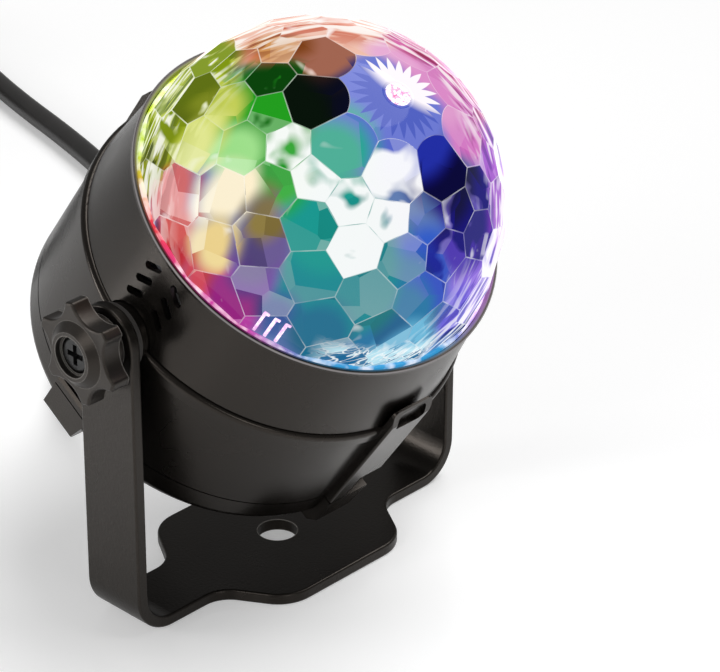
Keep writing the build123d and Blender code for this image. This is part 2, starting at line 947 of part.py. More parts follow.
def make_chassis_screws():
    return group([place * small_screw(chassis_back) for place in corner_places(post_circle)])


def make_board_screws():
    behind = [place * small_screw(control_back) for place in corner_places(standoff_circle)]
    above = [place * small_screw(chassis_front, -1) for place in corner_places(standoff_circle)]
    return group(behind + above)


def make_control_board():
    board = rod(control_radius, control_back, control_front)
    hole = rod(screw_radius + fit_gap, control_back - overrun, control_front + overrun)
    for place in corner_places(standoff_circle):
        board -= place * hole
    return board


def make_control_chips():
    chip = block(chip_length, chip_width, control_back - chip_height, control_back)
    return group([Pos(side * chip_spread / 2, 0, 0) * chip for side in (-1, 1)])


def make_power_board():
    board = Pos(0, power_middle, 0) * block(power_width, power_height, power_back, power_front)
    hole = rod(screw_radius + fit_gap, power_back - overrun, power_front + overrun)
    for place in power_places():
        board -= place * hole
    return board


def make_power_screws():
    return group([place * small_screw(power_front, -1) for place in power_places()])


def make_transformer():
    top = power_front + transformer_height
    core = block(transformer_width, transformer_depth - 2 * bobbin_wall, power_front, top)
    wound = block(
        transformer_width - 2 * bobbin_wall, transformer_depth,
        power_front + bobbin_wall, top - bobbin_wall,
    )
    return Pos(transformer_side, transformer_rise, 0) * (core + wound)


def make_capacitors():
    can = rod(capacitor_radius, power_front, power_front + capacitor_height)
    return group([
        Pos(capacitor_side + capacitor_pitch * k, capacitor_rise, 0) * can for k in range(2)
    ])


def make_fuse():
    middle = power_front + fuse_radius + part_gap
    glass = Rot(0, 90, 0) * Cylinder(fuse_radius - part_gap, fuse_length)
    cap = Rot(0, 90, 0) * Cylinder(fuse_radius, fuse_cap_length)
    ends = [Pos(side * (fuse_length - fuse_cap_length) / 2, 0, 0) * cap for side in (-1, 1)]
    feet = [
        Pos(side * (fuse_length - fuse_cap_length) / 2, 0, 0)
        * block(fuse_cap_length / 2, fuse_radius, power_front - middle, 0)
        for side in (-1, 1)
    ]
    return Pos(fuse_side, fuse_rise, middle) * (glass + ends + feet)


def make_terminal_block():
    body = block(terminal_width, terminal_depth, power_front, power_front + terminal_height)
    return Pos(0, terminal_rise, 0) * body


def make_cord_clamp():
    clamp = block(clamp_width, clamp_depth, clamp_back, clamp_back + clamp_thickness)
    clamp -= rod(lead_radius + fit_gap, clamp_back - overrun, clamp_back + clamp_thickness + overrun)
    hole = rod(screw_radius + fit_gap, clamp_back - overrun, clamp_back + clamp_thickness + overrun)
    for side in (-1, 1):
        clamp -= Pos(side * clamp_post_side, 0, 0) * hole
    return Pos(0, lead_rise, 0) * clamp


def make_clamp_screws():
    return group([place * small_screw(clamp_back + clamp_thickness, -1) for place in clamp_places()])


def make_cover_screws():
    seat = cover_end + screw_head_height + screw_head_clearance
    return group([place * small_screw(seat) for place in corner_places(rear_post_circle)])


# Mains lead

def make_strain_relief():
    taper_back = cover_end - relief_flange
    relief = turned(
        (0, relief_tip), (relief_tip_radius, relief_tip), (relief_base_radius, taper_back),
        (relief_flange_radius, taper_back), (relief_flange_radius, cover_end),
        (relief_neck_radius, cover_end), (relief_neck_radius, cover_inside),
        (relief_flange_radius - part_gap, cover_inside),
        (relief_neck_radius, cover_inside + relief_flange), (0, cover_inside + relief_flange),
    )
    for k in range(relief_ribs):
        back = taper_back - relief_rib_pitch * (k + 1)
        radius = relief_tip_radius - relief_groove_depth + part_gap
        relief -= tube(relief_flange_radius, radius, back, back + relief_groove)
    bore = rod(lead_radius + fit_gap, relief_tip - overrun, cover_inside + relief_flange + overrun)
    return Pos(0, lead_rise, 0) * (relief - bore)


def make_mains_tail():
    return Pos(0, lead_rise, 0) * rod(lead_radius, relief_tip, tail_end)


def round_wire(points, radius, bends):
    """Round tube along a path of straight runs and tangent arcs."""
    path = FilletPolyline(*points, radius=bends)
    section = Plane(origin=path @ 0, z_dir=path % 0) * Circle(radius)
    return sweep(section, path=path)


def make_mains_wires():
    wires = []
    for side in (-1, 1):
        x = side * wire_side
        turn_place = tail_end + wire_reach
        corners = [
            (x, lead_rise, tail_end), (x, lead_rise, turn_place),
            (x, terminal_rise + terminal_depth / 2, turn_place),
        ]
        wires.append(round_wire(corners, wire_radius, wire_bend))
    return group(wires)


def make_led_wires():
    wire = rod(wire_radius, control_front, chassis_front)
    spots = [Pos(i * wire_side, j * wire_side, 0) for i in (-1, 1) for j in (-1, 1)]
    return group([at_angle(wire_hole_turn, led_circle) * spot * wire for spot in spots])


def make_motor_wires():
    wire = rod(wire_radius, control_front, motor_back)
    return group([Pos(side * 2 * wire_side, 0, 0) * wire for side in (-1, 1)])


def corner_radii(points):
    """Bend radius at each corner: as large as the two runs beside it allow."""
    radii = []
    for before, corner, after in zip(points, points[1:], points[2:]):
        arriving = Vector(*corner) - Vector(*before)
        leaving = Vector(*after) - Vector(*corner)
        turn = radians(arriving.get_angle(leaving))
        radii.append(bend_share * min(arriving.length, leaving.length) / tan(turn / 2))
    return radii


def lead_route():
    """The lead's points, from the strain relief's tip to the start of the coil."""
    start = (head_place * Pos(0, lead_rise, relief_tip)).position
    first_corner = (head_place * Pos(0, lead_rise, relief_tip - lead_first_run)).position
    entry_x = coil_x + coil_radius
    last_corner = (entry_x, coil_y - coil_approach, coil_height)
    end = (entry_x, coil_y - lead_diameter, coil_height)
    return [tuple(start), tuple(first_corner), *lead_corners, last_corner, end]


def make_lead():
    points = lead_route()
    radii = corner_radii(points)
    print("lead bend radii", [round(r, 1) for r in radii])
    path = FilletPolyline(*points, radius=radii)
    section = Plane(origin=path @ 0, z_dir=path % 0) * Circle(lead_radius)
    lead = sweep(section, path=path)
    print("lead length", round(path.length, 1), "volume share",
          round(lead.volume / (pi * lead_radius ** 2 * path.length), 4))
    return lead


def ease(share):
    """Smooth step from 0 to 1."""
    share = min(max(share, 0), 1)
    return share * share * (3 - 2 * share)


def coil_point(turns):
    """Middle of the lead after a number of turns: inwards, up a layer, outwards and down."""
    innermost = coil_in_turns + coil_climb_turns / 2
    radius = coil_radius - coil_pitch * min(turns, innermost)
    radius += coil_pitch * max(turns - innermost, 0)
    radius += (coil_end_radius - radius) * ease((turns - coil_turns) / coil_leave_turns + 1)
    height = coil_height + layer_height * ease((turns - coil_in_turns) / coil_climb_turns)
    height += (plug_height - height) * ease((turns - coil_turns) / coil_drop_turns + 1)
    angle = 2 * pi * turns
    return Vector(coil_x + radius * cos(angle), coil_y + radius * sin(angle), height)


def coil_heading(turns):
    """Direction of the lead in the coil, level and square at both ends."""
    if turns in (0, coil_turns):
        angle = 2 * pi * turns
        return Vector(-sin(angle), cos(angle), 0)
    step = 1 / (turn_steps * coil_samples)
    return (coil_point(turns + step) - coil_point(turns - step)).normalized()


def biarc(start, start_heading, end, end_heading):
    """Two arcs that join two points smoothly, with the given headings at the ends."""
    across = end - start
    both = start_heading + end_heading
    a = 4 - both.dot(both)
    b = 2 * across.dot(both)
    c = -across.dot(across)
    reach = (-b + sqrt(b * b - 4 * a * c)) / (2 * a)
    first = start + start_heading * reach
    last = end - end_heading * reach
    middle = (first + last) * 0.5
    heading = (last - first).normalized()
    return [
        Edge.make_tangent_arc(start, start_heading, middle),
        Edge.make_tangent_arc(middle, heading, end),
    ]


def coil_path():
    steps = round(coil_turns * turn_steps)
    turns = [coil_turns * k / steps for k in range(steps + 1)]
    points = [coil_point(t) for t in turns]
    headings = [coil_heading(t) for t in turns]
    edges = [Edge.make_line(points[0] - headings[0] * lead_diameter, points[0])]
    for k in range(steps):
        edges += biarc(points[k], headings[k], points[k + 1], headings[k + 1])
    edges.append(Edge.make_line(points[-1], points[-1] + headings[-1] * lead_diameter))
    return Wire(edges)


def least_gap(path):
    """Least distance between the coil's turns, less the lead's thickness."""
    count = round(coil_turns * turn_steps * coil_samples)
    points = [path @ (k / count) for k in range(count + 1)]
    near = round(count / coil_turns / 2)
    gaps = [
        (points[i] - points[j]).length
        for i in range(count + 1) for j in range(i + near, count + 1)
    ]
    return min(gaps) - lead_diameter


def make_coil():
    path = coil_path()
    section = Plane(origin=path @ 0, z_dir=path % 0) * Circle(lead_radius)
    coil = sweep(section, path=path)
    print("coil length", round(path.length, 1), "least gap", round(least_gap(path), 2),
          "volume share", round(coil.volume / (pi * lead_radius ** 2 * path.length), 4))
    return coil


def make_coil_tie():
    """Flat band round the turns, at the side of the coil nearest the light."""
    spots = [k + 3 / 4 for k in range(round(coil_turns - 1 / 2))]
    radii = [(coil_point(t) - Vector(coil_x, coil_y, coil_point(t).Z)).length for t in spots]
    heights = [coil_point(t).Z for t in spots]
    reach = lead_radius + tie_reach / 2
    inner, outer = min(radii) - reach, max(radii) + reach
    low, high = coil_lift - part_gap, max(heights) + reach
    middle = Pos((inner + outer) / 2, (low + high) / 2)
    hole = middle * RectangleRounded(outer - inner, high - low, lead_radius / 2)
    rim = middle * RectangleRounded(
        outer - inner + 2 * tie_thickness, high - low + 2 * tie_thickness,
        lead_radius / 2 + tie_thickness,
    )
    band = extrude(Plane.XZ * (rim - hole), tie_width / 2, both=True)
    return Pos(coil_x, coil_y, 0) * Rot(0, 0, -90) * band


def plug_place():
    """Place of the plug's cord face, with +Z along the plug and X across it."""
    heading = coil_heading(coil_turns)
    origin = coil_point(coil_turns) + heading * lead_diameter
    return Plane(origin=origin, x_dir=heading.cross(Vector(0, 0, 1)), z_dir=heading).location


def make_plug_body():
    body_front = plug_relief_length + plug_length
    relief = turned(
        (0, 0), (lead_radius + part_gap, 0), (plug_relief_radius, plug_relief_length),
        (0, plug_relief_length),
    )
    outline = Polygon(
        (-plug_neck_width / 2, plug_relief_length - part_gap),
        (plug_neck_width / 2, plug_relief_length - part_gap),
        (plug_width / 2, plug_relief_length + plug_length / 2),
        (plug_width / 2, body_front), (-plug_width / 2, body_front),
        (-plug_width / 2, plug_relief_length + plug_length / 2), align=None,
    )
    outline = fillet(outline.vertices(), plug_round)
    body = extrude(Plane.XZ * outline, plug_thickness / 2, both=True)
    body = fillet(body.edges().filter_by(Plane.XZ), plug_round / 2)
    pin_holes = [pin_place(side) * pin(fit_gap, 0) for side in (-1, 1)]
    return plug_place() * (body + relief - pin_holes)


def pin_place(side):
    return Pos(side * pin_spacing / 2, 0, 0)


def pin(clearance, end_round):
    """One contact pin, from inside the plug's body to its tip."""
    back = plug_relief_length + plug_length - pin_length / 2
    front = plug_relief_length + plug_length + pin_length
    one = rod(pin_radius + clearance, back, front)
    if end_round:
        one = fillet(one.edges().group_by(Axis.Z)[-1], end_round)
    return one


def make_plug_pins():
    return plug_place() * group([pin_place(side) * pin(0, pin_radius / 2) for side in (-1, 1)])


def in_head(piece):
    return head_place * piece


nodes = {
    "bracket": make_bracket(),
    "washer_left": on_left(make_washer()),
    "washer_right": on_right(make_washer()),
    "knob_left": on_left(make_knob()),
    "knob_right": on_right(make_knob()),
    "knob_bolt_left": on_left(make_bolt()),
    "knob_bolt_right": on_right(make_bolt()),
    "pivot_insert_left": on_left(make_insert()),
    "pivot_insert_right": on_right(make_insert()),
    "front_shell": in_head(make_front_shell()),
    "rear_shell": in_head(make_rear_shell()),
    "back_cover": in_head(make_back_cover()),
    "cover_screws": in_head(make_cover_screws()),
    "dome": in_head(make_dome()),
    "dome_hub": in_head(make_hub()),
    "pole_screw": in_head(make_pole_screw()),
    "motor_shaft": in_head(rod(shaft_radius, shaft_back, shaft_front)),
    "motor": in_head(make_motor()),
    "gearbox": in_head(make_gearbox()),
    "motor_tower": in_head(make_tower()),
    "tower_screws": in_head(make_tower_screws()),
    "baffle": in_head(make_baffle()),
    "chassis_plate": in_head(make_chassis_plate()),
    "chassis_screws": in_head(make_chassis_screws()),
    "led_board": in_head(make_led_board()),
    "microphone": in_head(make_microphone()),
    "ir_receiver": in_head(make_ir_receiver()),
    "control_board": in_head(make_control_board()),
    "control_chips": in_head(make_control_chips()),
    "standoffs": in_head(make_standoffs()),
    "board_screws": in_head(make_board_screws()),
    "power_board": in_head(make_power_board()),
    "power_board_screws": in_head(make_power_screws()),
    "transformer": in_head(make_transformer()),
    "capacitors": in_head(make_capacitors()),
    "fuse": in_head(make_fuse()),
    "terminal_block": in_head(make_terminal_block()),
    "strain_relief": in_head(make_strain_relief()),
    "cord_clamp": in_head(make_cord_clamp()),
    "clamp_screws": in_head(make_clamp_screws()),
    "mains_tail": in_head(make_mains_tail()),
    "mains_wires": in_head(make_mains_wires()),
    "led_wires": in_head(make_led_wires()),
    "motor_wires": in_head(make_motor_wires()),
    "cord_lead": make_lead(),
    "cord_coil": make_coil(),
    "coil_tie": make_coil_tie(),
    "plug_body": make_plug_body(),
    "plug_pins": make_plug_pins(),
}
for number, colour in enumerate(("red", "green", "blue")):
    nodes["led_" + colour] = in_head(make_led(number))
    nodes["lens_" + colour] = in_head(make_lens(number))
    nodes["lens_holder_" + colour] = in_head(make_lens_holder(number))

for name, piece in nodes.items():
    export_step(piece, f"parts/{name}.step")
print(len(nodes), "nodes written")
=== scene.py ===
# %% [markdown]
# LED disco ball light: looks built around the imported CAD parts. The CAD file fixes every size
# and joint, so this lesson only adds what CAD can't: the lit dome with its colours, the grain
# of the moulded plastic, the powder coat, the mains lead and the studio.

# %% Load the frame
import json
import random
from math import acos, asin, atan2, cos, degrees, pi, radians, sin, sqrt

import bmesh
import bpy
from mathutils import Matrix, Vector


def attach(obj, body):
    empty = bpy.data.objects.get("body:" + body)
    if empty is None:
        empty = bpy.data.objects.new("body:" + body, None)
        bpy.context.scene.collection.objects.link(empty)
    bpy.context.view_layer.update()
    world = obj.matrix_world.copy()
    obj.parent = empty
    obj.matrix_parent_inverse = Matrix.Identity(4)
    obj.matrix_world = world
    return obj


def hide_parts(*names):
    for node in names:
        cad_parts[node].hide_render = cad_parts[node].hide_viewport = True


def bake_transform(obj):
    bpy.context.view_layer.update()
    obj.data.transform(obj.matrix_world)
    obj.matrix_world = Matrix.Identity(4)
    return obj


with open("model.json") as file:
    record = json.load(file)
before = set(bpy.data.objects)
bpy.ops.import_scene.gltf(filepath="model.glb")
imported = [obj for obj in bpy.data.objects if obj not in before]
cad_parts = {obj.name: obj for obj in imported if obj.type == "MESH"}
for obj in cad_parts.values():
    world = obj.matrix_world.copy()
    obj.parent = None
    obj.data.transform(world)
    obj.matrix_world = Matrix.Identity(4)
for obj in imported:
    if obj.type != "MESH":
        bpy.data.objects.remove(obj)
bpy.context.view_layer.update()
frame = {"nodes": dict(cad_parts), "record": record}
mm = 0.001


def new_object(name, data):
    """New object in the scene for a mesh, a curve, a lamp or the camera."""
    piece = bpy.data.objects.new(name, data)
    bpy.context.scene.collection.objects.link(piece)
    return piece


def piece_from(name, shape):
    """Object with the mesh that a bmesh holds."""
    mesh = bpy.data.meshes.new(name)
    shape.to_mesh(mesh)
    shape.free()
    return new_object(name, mesh)


# %% [markdown]
# The camera stands where the photographer stood: high on the left, looking down on the front of
# the light through a long lens. Its turn, height, distance and lens were found by laying the
# outlines of the CAD parts over the photograph until they matched.

# %% Camera
camera_turn = radians(-46.329)
camera_rise = radians(28.332)
camera_roll = radians(0.3)
camera_distance = 718.78 * mm
camera_target = Vector((26.291, 0, 41.57)) * mm
backwards = Vector((
    sin(camera_turn) * cos(camera_rise), -cos(camera_turn) * cos(camera_rise), sin(camera_rise),
))
across = Vector((0, 0, 1)).cross(backwards).normalized()
upwards = backwards.cross(across)
right = across * cos(camera_roll) + upwards * sin(camera_roll)
top = upwards * cos(camera_roll) - across * sin(camera_roll)
camera_data = bpy.data.cameras.new("camera")
camera_data.lens = 161.82
camera_data.sensor_width = 36.0
camera_data.clip_start = 0.05
camera_data.clip_end = 20.0
camera = new_object("camera", camera_data)
camera.matrix_world = Matrix.Translation(camera_target + backwards * camera_distance) @ (
    Matrix((right, top, backwards)).transposed().to_4x4()
)
bpy.context.scene.camera = camera
bpy.context.scene.view_settings.view_transform = "Standard"
print("camera at", [round(v, 4) for v in camera.matrix_world.translation])

# %% [markdown]
# The mains lead is a soft round cable, so it is one smooth curve with a round section instead of
# a chain of pipes. It leaves the strain relief in line with the head, sinks to the table and runs
# to the coil of spare lead behind the light. The control points are the corners of the CAD route,
# and the coil is more points of the same curve, a dozen and more for each turn. The curve is then
# turned into a mesh tube. The same curve without its thickness gives a path of points along the
# lead.

# %% Mains lead
lead_radius = 3.1
coil_middle = (84.0, 276.0)
lead_corners = [
    (0, 49.02, 34.11), (0, 56.48, 23.46), (1.6, 64.4, 14.4), (5.6, 73.4, 7.8), (12.6, 83.6, 4.2),
    (23.0, 94.6, 3.1), (38.0, 106.0, 3.1), (58.0, 118.0, 3.1), (79.0, 134.0, 3.1),
    (95.0, 155.5, 3.1), (104.0, 184.0, 3.1), (112.6, 221.0, 3.1), (121.4, 250.0, 4.0),
    (121.4, 269.8, 4.0),
]
coil_turns = 3.5
points_per_turn = 16
coil_radius = 37.4
coil_step = 6.9
inmost_turn = 1.65
climb_turn = 1.4
coil_height = 4.0
tail_radius = 47.0
plug_entry = (37.0, 269.8, 7.0)


def ease(share):
    """Smooth step from 0 to 1."""
    share = min(max(share, 0), 1)
    return share * share * (3 - 2 * share)


def coil_point(turns):
    """Middle of the lead in the coil: inwards, up a layer, outwards and down to the plug."""
    radius = coil_radius - coil_step * min(turns, inmost_turn)
    radius += coil_step * max(turns - inmost_turn, 0)
    radius += (tail_radius - radius) * ease((turns - coil_turns) / 0.5 + 1)
    height = coil_height + coil_step * ease((turns - climb_turn) / 0.5)
    height += (plug_entry[2] - height) * ease((turns - coil_turns) / 0.3 + 1)
    angle = 2 * pi * turns
    return (coil_middle[0] + radius * cos(angle), coil_middle[1] + radius * sin(angle), height)


def new_curve(name, points, radius):
    """Round cable along one smooth spline whose control points are given in millimetres."""
    data = bpy.data.curves.new(name, "CURVE")
    data.dimensions = "3D"
    data.bevel_depth = 1.0
    data.bevel_resolution = 6
    data.resolution_u = 6
    data.use_fill_caps = True
    spline = data.splines.new("NURBS")
    spline.points.add(len(points) - 1)
    for point, place in zip(spline.points, points):
        point.co = (*(Vector(place) * mm), 1)
        point.radius = radius * mm
    spline.order_u = 3
    spline.use_endpoint_u = True
    return new_object(name, data)


coil_count = round(coil_turns * points_per_turn)
coil_points = [coil_point(coil_turns * k / coil_count) for k in range(coil_count + 1)]
lead_points = [*lead_corners, *coil_points, plug_entry]
lead_line = new_curve("lead_line", lead_points, lead_radius)
bpy.context.view_layer.update()
mains_lead = new_object("mains_lead", bpy.data.meshes.new_from_object(lead_line))
lead_line.data.bevel_depth = 0
lead_line.data.use_fill_caps = False
bpy.context.view_layer.update()
lead_path = [tuple(v.co) for v in bpy.data.meshes.new_from_object(lead_line).vertices]
bpy.data.objects.remove(lead_line)
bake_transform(mains_lead)
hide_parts("cord_lead", "cord_coil")
print("lead control points", len(lead_points), "faces", len(mains_lead.data.polygons))

# %% [markdown]
# Every material here is a tree of shader nodes. A few small functions keep the recipes short:
# each adds a texture, a sum, a ramp or a mix of two colours, and hands back what comes out of it.


# %% Small shader steps
def new_material(name):
    """New material with its node tree and its main shader."""
    material = bpy.data.materials.new(name)
    material.use_nodes = True
    return material, material.node_tree, material.node_tree.nodes["Principled BSDF"]


def node_at(tree, kind, **values):
    """New node with its named inputs set."""
    node = tree.nodes.new(kind)
    for name, value in values.items():
        node.inputs[name.replace("_", " ")].default_value = value
    return node


def noise_at(tree, place=None, **values):
    """Noise texture laid out by a place, or by the object's own coordinates."""
    node = node_at(tree, "ShaderNodeTexNoise", **values)
    if place is None:
        place = tree.nodes.new("ShaderNodeTexCoord").outputs["Object"]
    tree.links.new(place, node.inputs["Vector"])
    return node


def ramp_between(tree, source, low, high, start, end, smooth=False):
    """Map Range node that turns source from start..end into low..high."""
    span = tree.nodes.new("ShaderNodeMapRange")
    if smooth:
        span.interpolation_type = "SMOOTHSTEP"
    span.inputs["From Min"].default_value = start
    span.inputs["From Max"].default_value = end
    span.inputs["To Min"].default_value = low
    span.inputs["To Max"].default_value = high
    tree.links.new(source, span.inputs["Value"])
    return span.outputs["Result"]


def shader_math(tree, operation, *values):
    """Math node whose inputs are numbers or sockets."""
    node = tree.nodes.new("ShaderNodeMath")
    node.operation = operation
    for socket, value in zip(node.inputs, values):
        if isinstance(value, bpy.types.NodeSocket):
            tree.links.new(value, socket)
        else:
            socket.default_value = value
    return node.outputs[0]


def both(tree, first, second):
    """Product of two shares, each a number or a socket."""
    return shader_math(tree, "MULTIPLY", first, second)


def shader_vector(tree, operation, first, second=None, scale=None):
    """Vector Math node on sockets."""
    node = tree.nodes.new("ShaderNodeVectorMath")
    node.operation = operation
    tree.links.new(first, node.inputs[0])
    if isinstance(second, bpy.types.NodeSocket):
        tree.links.new(second, node.inputs[1])
    elif second is not None:
        node.inputs[1].default_value = second
    if scale is not None:
        node.inputs["Scale"].default_value = scale
    scalar = operation in ("DISTANCE", "LENGTH", "DOT_PRODUCT")
    return node.outputs["Value" if scalar else "Vector"]


def blend_colours(tree, share, first, second):
    """Colour that goes from the first to the second with share."""
    node = tree.nodes.new("ShaderNodeMix")
    node.data_type = "RGBA"
    node.clamp_factor = True
    sockets = [s for s in node.inputs if s.enabled]
    for socket, value in zip(sockets, (share, first, second)):
        if isinstance(value, bpy.types.NodeSocket):
            tree.links.new(value, socket)
        elif isinstance(value, (int, float)):
            socket.default_value = value
        else:
            socket.default_value = (*value, 1)
    return [s for s in node.outputs if s.enabled][0]


def colour(red, green, blue):
    """Shader colour from the 0 to 255 numbers of a paint chart."""
    parts = [c / 255 for c in (red, green, blue)]
    return tuple(c / 12.92 if c <= 0.04045 else ((c + 0.055) / 1.055) ** 2.4 for c in parts)


print("middle grey as a shader colour", [round(c, 3) for c in colour(128, 128, 128)])

# %% [markdown]
# Moulded black plastic is never one flat black: its skin carries a fine grain from the mould,
# and the gloss wanders a little. A small recipe makes such a finish from a colour, a gloss and
# the size of the grain, so that every piece of the light can have its own. The powder coat, the
# cable sheath and the metals use the same recipe with other numbers. Sharp edges of the bracket
# and the knobs catch the light, so a finish can also have a painted highlight, a paler colour
# along its edges. Object coordinates are in metres, so a scale of 1000 gives a pattern a
# millimetre wide.

# %% Finishes
materials = {}
# Width and colour of the painted highlight along sharp edges
edge_width = 0.5 * mm
edge_highlight_colour = (0.42, 0.40, 0.37)
grain_depth = 0.2 * mm


def shade_between(tree, source, dark, light, start, end):
    """Colour ramp from the dark to the light shade as source goes from start to end."""
    shades = tree.nodes.new("ShaderNodeValToRGB")
    for k, (position, paint) in enumerate(((start, dark), (end, light))):
        shades.color_ramp.elements[k].position = position
        shades.color_ramp.elements[k].color = (*paint, 1)
    tree.links.new(source, shades.inputs["Fac"])
    return shades.outputs["Color"]


def add_relief(tree, shader, height, strength):
    """Bump on a shader's surface."""
    relief = node_at(tree, "ShaderNodeBump", Strength=strength, Distance=grain_depth)
    tree.links.new(height, relief.inputs["Height"])
    tree.links.new(relief.outputs["Normal"], shader.inputs["Normal"])


def painted_edge_highlight(tree, strength):
    """Share of painted edge highlight, up to strength where rounding would turn the surface most.
    """
    rounded = node_at(tree, "ShaderNodeBevel", Radius=edge_width)
    rounded.samples = 6
    real = tree.nodes.new("ShaderNodeNewGeometry").outputs["Normal"]
    flatness = shader_vector(tree, "DOT_PRODUCT", rounded.outputs["Normal"], real)
    return ramp_between(tree, flatness, strength, 0.0, 0.86, 0.98)


def finish(
    name, dark, light, gloss, grain=1400, bump=0.12, metal=0.0, coat=0.0, warm=False, edge_highlight_strength=0.0,
):
    """Solid finish: colour between two shades, gloss that wanders, fine grain as bump."""
    material, tree, shader = new_material(name)
    broad = noise_at(tree, Scale=55.0, Detail=3.0).outputs["Fac"]
    fine = noise_at(tree, Scale=float(grain), Detail=2.0).outputs["Fac"]
    paint = shade_between(tree, broad, dark, light, 0.3, 0.7)
    # Painted highlight: a paler colour along the sharp edges
    if edge_highlight_strength > 0:
        paint = blend_colours(tree, painted_edge_highlight(tree, edge_highlight_strength), paint, edge_highlight_colour)
    tree.links.new(paint, shader.inputs["Base Color"])
    roughness = ramp_between(tree, broad, gloss - 0.04, gloss + 0.05, 0.3, 0.7)
    tree.links.new(roughness, shader.inputs["Roughness"])
    add_relief(tree, shader, fine, bump)
    shader.inputs["Metallic"].default_value = metal
    shader.inputs["Coat Weight"].default_value = coat
    shader.inputs["Coat Roughness"].default_value = 0.2
    if warm:
        shader.inputs["Specular IOR Level"].default_value = 0.42
        shader.inputs["Specular Tint"].default_value = (1.0, 0.87, 0.76, 1)
    materials[name] = material
    return material


housing_look = {
    "dark": (0.0045, 0.004, 0.0035), "light": (0.007, 0.006, 0.0052), "gloss": 0.24,
    "grain": 2200, "bump": 0.08, "warm": True,
}
finish("housing", **housing_look)
# The bracket and the knobs carry a painted highlight along their sharp edges
finish(
    "bracket_paint", (0.004, 0.0036, 0.0032), (0.0065, 0.0058, 0.005), 0.3, grain=1500,
    bump=0.2, warm=True, edge_highlight_strength=0.9)
finish(
    "knob_plastic", (0.009, 0.008, 0.0072), (0.014, 0.0125, 0.0115), 0.36, grain=2000,
    bump=0.12, warm=True, edge_highlight_strength=0.5)
finish("screw_steel", (0.40, 0.40, 0.41), (0.52, 0.52, 0.53), 0.3, grain=900, metal=1.0)
finish("black_steel", (0.012, 0.012, 0.012), (0.03, 0.03, 0.03), 0.28, grain=900, metal=0.5)
finish("brass_insert", (0.62, 0.48, 0.22), (0.74, 0.6, 0.32), 0.32, grain=800, metal=1.0)
finish("steel_shaft", (0.55, 0.55, 0.56), (0.66, 0.66, 0.67), 0.22, grain=700, metal=1.0)
finish("motor_can", (0.45, 0.45, 0.47), (0.55, 0.55, 0.57), 0.3, grain=700, metal=1.0)
finish("gearbox_cast", (0.36, 0.37, 0.39), (0.46, 0.47, 0.49), 0.5, grain=600, bump=0.4, metal=1.0)
finish("tower_plastic", (0.02, 0.02, 0.024), (0.03, 0.03, 0.034), 0.4)
finish("hub_plastic", (0.68, 0.69, 0.72), (0.78, 0.79, 0.81), 0.4)
finish("baffle_plastic", (0.04, 0.04, 0.044), (0.055, 0.055, 0.06), 0.55)
finish("chassis_metal", (0.52, 0.52, 0.53), (0.62, 0.62, 0.63), 0.35, grain=500, metal=1.0)
finish("led_board_white", (0.80, 0.80, 0.78), (0.86, 0.86, 0.84), 0.3, grain=900)
finish("green_board", (0.03, 0.17, 0.06), (0.05, 0.23, 0.09), 0.3, grain=900)
finish("led_red", (0.70, 0.04, 0.03), (0.85, 0.07, 0.05), 0.15, coat=0.6)
finish("led_green", (0.05, 0.60, 0.12), (0.09, 0.75, 0.16), 0.15, coat=0.6)
finish("led_blue", (0.06, 0.12, 0.70), (0.09, 0.17, 0.85), 0.15, coat=0.6)
finish("holder_plastic", (0.03, 0.03, 0.03), (0.05, 0.05, 0.05), 0.5)
finish("chip_plastic", (0.02, 0.02, 0.02), (0.03, 0.03, 0.03), 0.5, grain=1100, bump=0.3)
finish("mic_can", (0.55, 0.55, 0.53), (0.65, 0.65, 0.63), 0.28, grain=700, metal=1.0)
finish("transformer_yellow", (0.62, 0.48, 0.08), (0.76, 0.61, 0.13), 0.4, grain=700)
finish("capacitor_blue", (0.03, 0.05, 0.16), (0.05, 0.07, 0.22), 0.25, coat=0.3)
finish("terminal_green", (0.04, 0.33, 0.12), (0.07, 0.42, 0.17), 0.4)
finish("washer_fibre", (0.04, 0.036, 0.033), (0.06, 0.055, 0.05), 0.7, grain=900, bump=0.4)
finish("cord_black", (0.022, 0.021, 0.020), (0.034, 0.032, 0.031), 0.33, grain=1200, bump=0.15)
finish("plug_black", (0.018, 0.018, 0.018), (0.028, 0.028, 0.028), 0.36, grain=1500, bump=0.2)
finish("pin_plated", (0.64, 0.63, 0.60), (0.74, 0.73, 0.70), 0.18, grain=700, metal=1.0)
finish("wire_red", (0.42, 0.03, 0.03), (0.52, 0.06, 0.05), 0.35)
finish("wire_brown", (0.14, 0.06, 0.03), (0.2, 0.09, 0.05), 0.35)
finish("tie_band", (0.02, 0.02, 0.022), (0.035, 0.035, 0.04), 0.45, grain=1800, bump=0.4)
print("solid finishes", len(materials))

# %% [markdown]
# The three clear finishes, of the lenses, of the fuse's glass and of the CAD dome, let light
# through. They keep a faint waviness in the surface, as pressed lenses and drawn tubes have. The
# CAD dome's isn't seen in the end, because the lit dome further down takes its place.


# %% Clear finishes
def clear_finish(name, tint, gloss, waves):
    """Clear plastic or glass with a slightly wavy surface."""
    material, tree, shader = new_material(name)
    wave = noise_at(tree, Scale=float(waves), Detail=1.0).outputs["Fac"]
    paint = shade_between(tree, wave, [0.94 * c for c in tint], tint, 0.0, 1.0)
    tree.links.new(paint, shader.inputs["Base Color"])
    add_relief(tree, shader, wave, 0.2)
    shader.inputs["Roughness"].default_value = gloss
    shader.inputs["Transmission Weight"].default_value = 1.0
    shader.inputs["IOR"].default_value = 1.49
    materials[name] = material


clear_finish("clear_lens", (0.95, 0.97, 1.0), 0.03, 300)
clear_finish("fuse_glass", (0.90, 0.94, 0.93), 0.02, 260)
clear_finish("clear_dome", (0.95, 0.97, 1.0), 0.03, 200)
print("finishes", len(materials))

# %% [markdown]
# Every CAD part already names the finish that it is made of, so each gets its material by that
# name.

